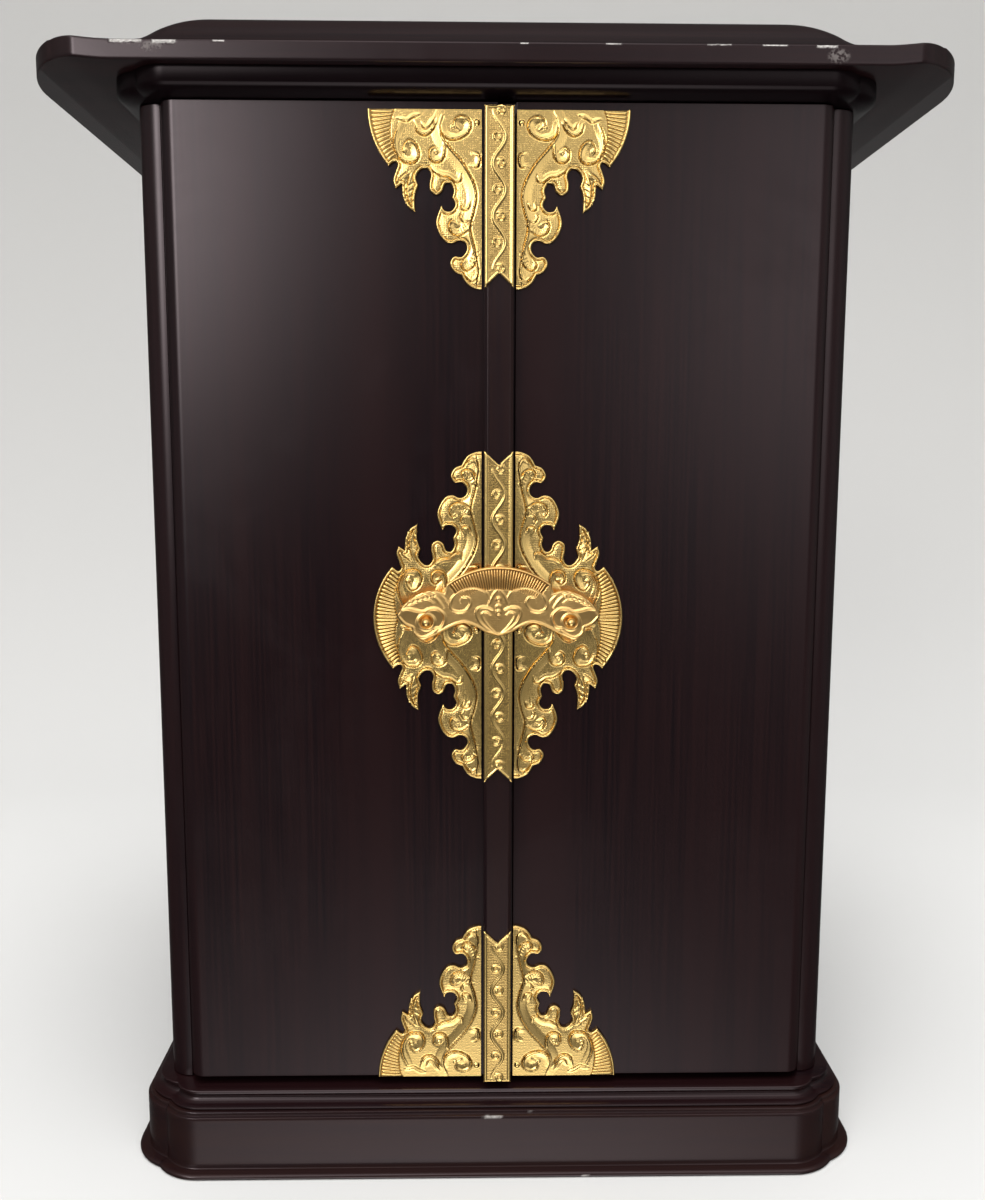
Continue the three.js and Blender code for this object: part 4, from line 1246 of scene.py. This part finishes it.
latch_turn = math.asin(LATCH_FAN_HALF / LATCH_FAN_RADIUS)
latch_fan = [(LATCH_FAN_RADIUS * math.sin(turn), LATCH_FAN_LOW + LATCH_FAN_RADIUS * math.cos(turn))
             for turn in (latch_turn * i / 64 for i in range(64))]
latch_half = np.vstack([latch_fan, joined_runs(latch_runs, RELIEF_SPACING)])
latch_outline = np.vstack([latch_half, (latch_half[1:-1] * [-1, 1])[::-1]])
ROUND_STEPS = 40
round_turns = [2 * math.pi * i / ROUND_STEPS for i in range(ROUND_STEPS)]
stud_eyes = [np.array([(side * STUD_X + STUD_HOLE * math.cos(a), STUD_DROP + STUD_HOLE * math.sin(a))
                       for a in round_turns]) for side in (-1, 1)]


def latch_relief(points):
    """Height of the bar's relief, where its ground shows, and how clean it is: the same on both halves."""
    folded = np.stack([np.abs(points[:, 0]), points[:, 1]], 1)
    raised = np.zeros(len(points))
    for path, left, right, height in latch_crests:
        raised = np.maximum(raised, crest_height(folded, path, left, right, height, (0.5, 0.5)))
    for centre, radius, height in latch_beads:
        raised = np.maximum(raised, dome(folded, centre, radius, height))
    to_edge = nearest(points, ring_of(latch_outline))[0]
    raised = np.maximum(raised, 0.4 * np.clip(1 - np.abs(to_edge - 0.75) / 0.65, 0, 1) ** 0.7)
    radius = np.hypot(folded[:, 0], folded[:, 1] - LATCH_FAN_LOW)
    angle = np.arctan2(folded[:, 0], folded[:, 1] - LATCH_FAN_LOW)
    over_volutes = nearest(folded, spline(latch_crests[0][0][:7], PATH_STEP))
    above = folded[:, 1] > 3.4 - 0.12 * folded[:, 0]
    in_fan = (angle < latch_turn * LATCH_FAN_SHARE) & (over_volutes[2] > 0) & above
    in_fan &= (radius > LATCH_RIB_INNER - 0.1) & (radius < LATCH_FAN_RADIUS - 0.8)
    raised = 0.75 * raised
    height = np.where(in_fan & (raised < 0.25), LATCH_FAN_FLOOR, LATCH_FIELD + raised)
    dish = nearest(folded, spline([[29, -8.4], [34, -9.6], [41, -8]], 0.5))[0]
    in_dish = np.clip(1 - dish / DISH_RADIUS, 0, 1)
    height = height - DISH_DEPTH * in_dish * (raised < 0.3)
    boss = np.hypot(folded[:, 0] - STUD_X, folded[:, 1] - STUD_DROP)
    ring = np.clip(1 - np.abs(boss - BOSS_RADIUS) / BOSS_HALF, 0, 1)
    height = np.maximum(height, BOSS_HEIGHT * ring ** 0.6)
    for k in range(LATCH_VEINS):
        vein = [[42 - 2.3 * k, -2.2 + 0.75 * k], [40.6 - 2.3 * k, 0.6 + 0.5 * k]]
        height -= crest_height(folded, vein, LATCH_VEIN_WIDTH, LATCH_VEIN_WIDTH, LATCH_VEIN_DEPTH)
    height -= rolled_down(to_edge)
    smooth_place = (in_dish > 0) | in_fan | (boss < 5)
    plain = np.clip(1 - raised / 0.2, 0, 1) * ~smooth_place
    return np.maximum(height, 0.02), plain, np.clip(0.7 + raised - 0.6 * in_fan, 0, 1)


def latch_bar():
    """The bar that hangs on both studs: one pressed sheet with two eyes, and the ribs of its fan."""
    points, triangles = sheet_points(latch_outline, RELIEF_SPACING * 0.9, stud_eyes)
    height, plain, clean = latch_relief(points)
    front = LATCH_BACK - LATCH_THICKNESS - height
    sheet, wall = relief_mesh("latch_bar", points, triangles, front, LATCH_BACK,
                              lambda u, v: (u, LATCH_MIDDLE + v), {"ground": plain, "crest": clean})
    shape = close_sheet("latch_bar", [sheet], wall)
    add_piece("latch_bar_pressed", shape, "latch_bar", LATCH_GILT)
    count = 2 * int(latch_turn * LATCH_FAN_SHARE / LATCH_RAY)
    first = math.pi / 2 - LATCH_RAY * (count - 1) / 2
    ribs = rib_fan("latch_ribs", LATCH_GILT, count, first, LATCH_RAY, LATCH_RIB_INNER, 0.0,
                   LATCH_FAN_RADIUS - 1.2, 0.58)
    set_ribs(ribs, 0, LATCH_BACK - LATCH_THICKNESS - 0.05, LATCH_MIDDLE + LATCH_FAN_LOW, 1, 1)
    add_piece("latch_ribs", joined("latch_ribs", [ribs]), "latch_bar", LATCH_GILT)


latch_bar()


# ---- Studs ----

def stud(side, node):
    """A stud turned in one piece: a washer on the plate, a shank and a round head."""
    start = -(highest(node, Y) - DOOR_FACE)
    tip = -(lowest(node, Y) - DOOR_FACE)
    ball = 2.2
    centre = tip - ball
    # radius and how far forward
    profile = [(3.3, start), (3.6, start + 0.3), (3.5, start + 0.8), (2.9, start + 1.25), (1.5, start + 1.7),
               (1.3, start + 2.4), (1.3, centre - 1.95)]
    profile += [(max(0.02, ball * math.cos(a)), centre + ball * math.sin(a))
                for a in (math.radians(-52 + 142 * i / 22) for i in range(23))]
    middle_x, height = side * STUD_X, LATCH_MIDDLE + STUD_DROP
    rings = [[(middle_x + r * math.cos(a), -forward, height + r * math.sin(a)) for a in round_turns]
             for r, forward in profile]
    mesh = to_mesh(node, *loft(rings), sharp_angle=50)
    note_values(mesh, ground=[0.0] * len(mesh.vertices), crest=[1.0] * len(mesh.vertices))
    add_piece(node + "_turned", mesh, node, LATCH_GILT)


for word, side in (("left", -1), ("right", 1)):
    stud(side, f"{word}_stud")


# ---- Stage and light ----

def add_stage():
    """A pale paper sweep. It is left out of reflections, which come from the room's own light and dark."""
    mesh = bpy.data.meshes.new("studio_sweep")
    half, front, back, bend, height = 4.0, -4.0, 1.5, 1.0, 4.0
    turns = [math.radians(90 * i / 32) for i in range(1, 33)]
    profile = [(front, 0.0), (back - bend, 0.0)]
    profile += [(back - bend + bend * math.sin(a), bend - bend * math.cos(a)) for a in turns]
    profile.append((back, height))
    points = [(x, y, z) for y, z in profile for x in (-half, half)]
    faces = [(2 * i, 2 * i + 1, 2 * i + 3, 2 * i + 2) for i in range(len(profile) - 1)]
    mesh.from_pydata(points, [], faces)
    mesh.shade_smooth()
    sweep = bpy.data.objects.new("studio_sweep", mesh)
    bpy.context.scene.collection.objects.link(sweep)
    sweep.visible_glossy = False
    material, tree, shader = new_material("pale_studio_paper")
    shader.inputs["Base Color"].default_value = colour("cbcbca")
    shader.inputs["Roughness"].default_value = 0.9
    shader.inputs["Specular IOR Level"].default_value = 0.0
    mesh.materials.append(material)


LAMP_PLACE = (0, -0.9, 2.6)
LAMP_AIM = (0, -0.5, 0)
LAMP_SIZE = (3.0, 2.4)
LAMP_WATTS = 24
LAMP_SPREAD = math.radians(60)


def add_lamp():
    """A broad soft lamp overhead. It isn't seen in the gloss, where the room's patches stand for lamps."""
    data = bpy.data.lights.new("ceiling_bank", "AREA")
    data.shape = "RECTANGLE"
    data.size, data.size_y = LAMP_SIZE
    data.energy = LAMP_WATTS
    data.spread = LAMP_SPREAD
    lamp = bpy.data.objects.new("ceiling_bank", data)
    bpy.context.scene.collection.objects.link(lamp)
    turn = (Vector(LAMP_AIM) - Vector(LAMP_PLACE)).to_track_quat("-Z", "Y").to_matrix().to_4x4()
    lamp.matrix_world = Matrix.Translation(LAMP_PLACE) @ turn
    lamp.visible_glossy = False


# Soft patches of light and dark in the room: the way to each, its strength, how sharply it ends.
ROOM_PATCHES = [
    ((-0.42, -0.875, 0.249), 10.0, 60.0),  # window on the left
    ((0.36, -0.92, 0.15), 1.5, 40.0),  # pale wall on the right
    ((0.0, -0.622, -0.783), 3.8, 19.0),  # lit floor in front
    ((0.0, -0.7, 0.71), 2.7, 30.0),  # lamp in front, high up
    ((-0.5, -0.6, 0.62), 2.4, 30.0),  # its neighbour on the left
    ((0.5, -0.6, 0.62), 1.4, 30.0),  # and on the right
    ((0.1, -0.2, 0.97), 0.45, 5.0),  # ceiling
    ((0.0, -0.95, 0.3), 0.12, 1.0),  # the front half of the room
    ((-0.9, -0.3, 0.35), 0.25, 6.0),  # left wall
    ((0.95, -0.25, 0.2), 0.25, 6.0),  # right wall
    ((0.0, 0.95, -0.3), 0.16, 3.0),  # the pale backdrop, low down behind
    ((0.0, -1.0, -0.08), -0.13, 10.0),  # dark of the room straight in front
]
ROOM_LEVEL = 0.03


def add_room():
    """The light of the room, from its even level and its patches."""
    world = bpy.data.worlds.new("studio_room")
    world.use_nodes = True
    tree = world.node_tree
    way = add_node(tree, "ShaderNodeTexCoord").outputs["Generated"]
    total = ROOM_LEVEL
    for aim, strength, sharpness in ROOM_PATCHES:
        toward = add_node(tree, "ShaderNodeVectorMath", operation="DOT_PRODUCT", i0=way,
                          i1=Vector(aim).normalized()).outputs["Value"]
        facing = add_node(tree, "ShaderNodeMath", operation="MAXIMUM", i0=toward, i1=0.0).outputs[0]
        shaped = add_node(tree, "ShaderNodeMath", operation="POWER", i0=facing, i1=sharpness).outputs[0]
        total = add_node(tree, "ShaderNodeMath", operation="MULTIPLY_ADD", i0=shaped, i1=strength,
                         i2=total).outputs[0]
    tree.links.new(total, tree.nodes["Background"].inputs["Strength"])
    tree.nodes["Background"].inputs["Color"].default_value = colour("fdfbf9")
    bpy.context.scene.world = world


add_stage()
add_room()
add_lamp()
bpy.context.scene.view_settings.view_transform = "Standard"
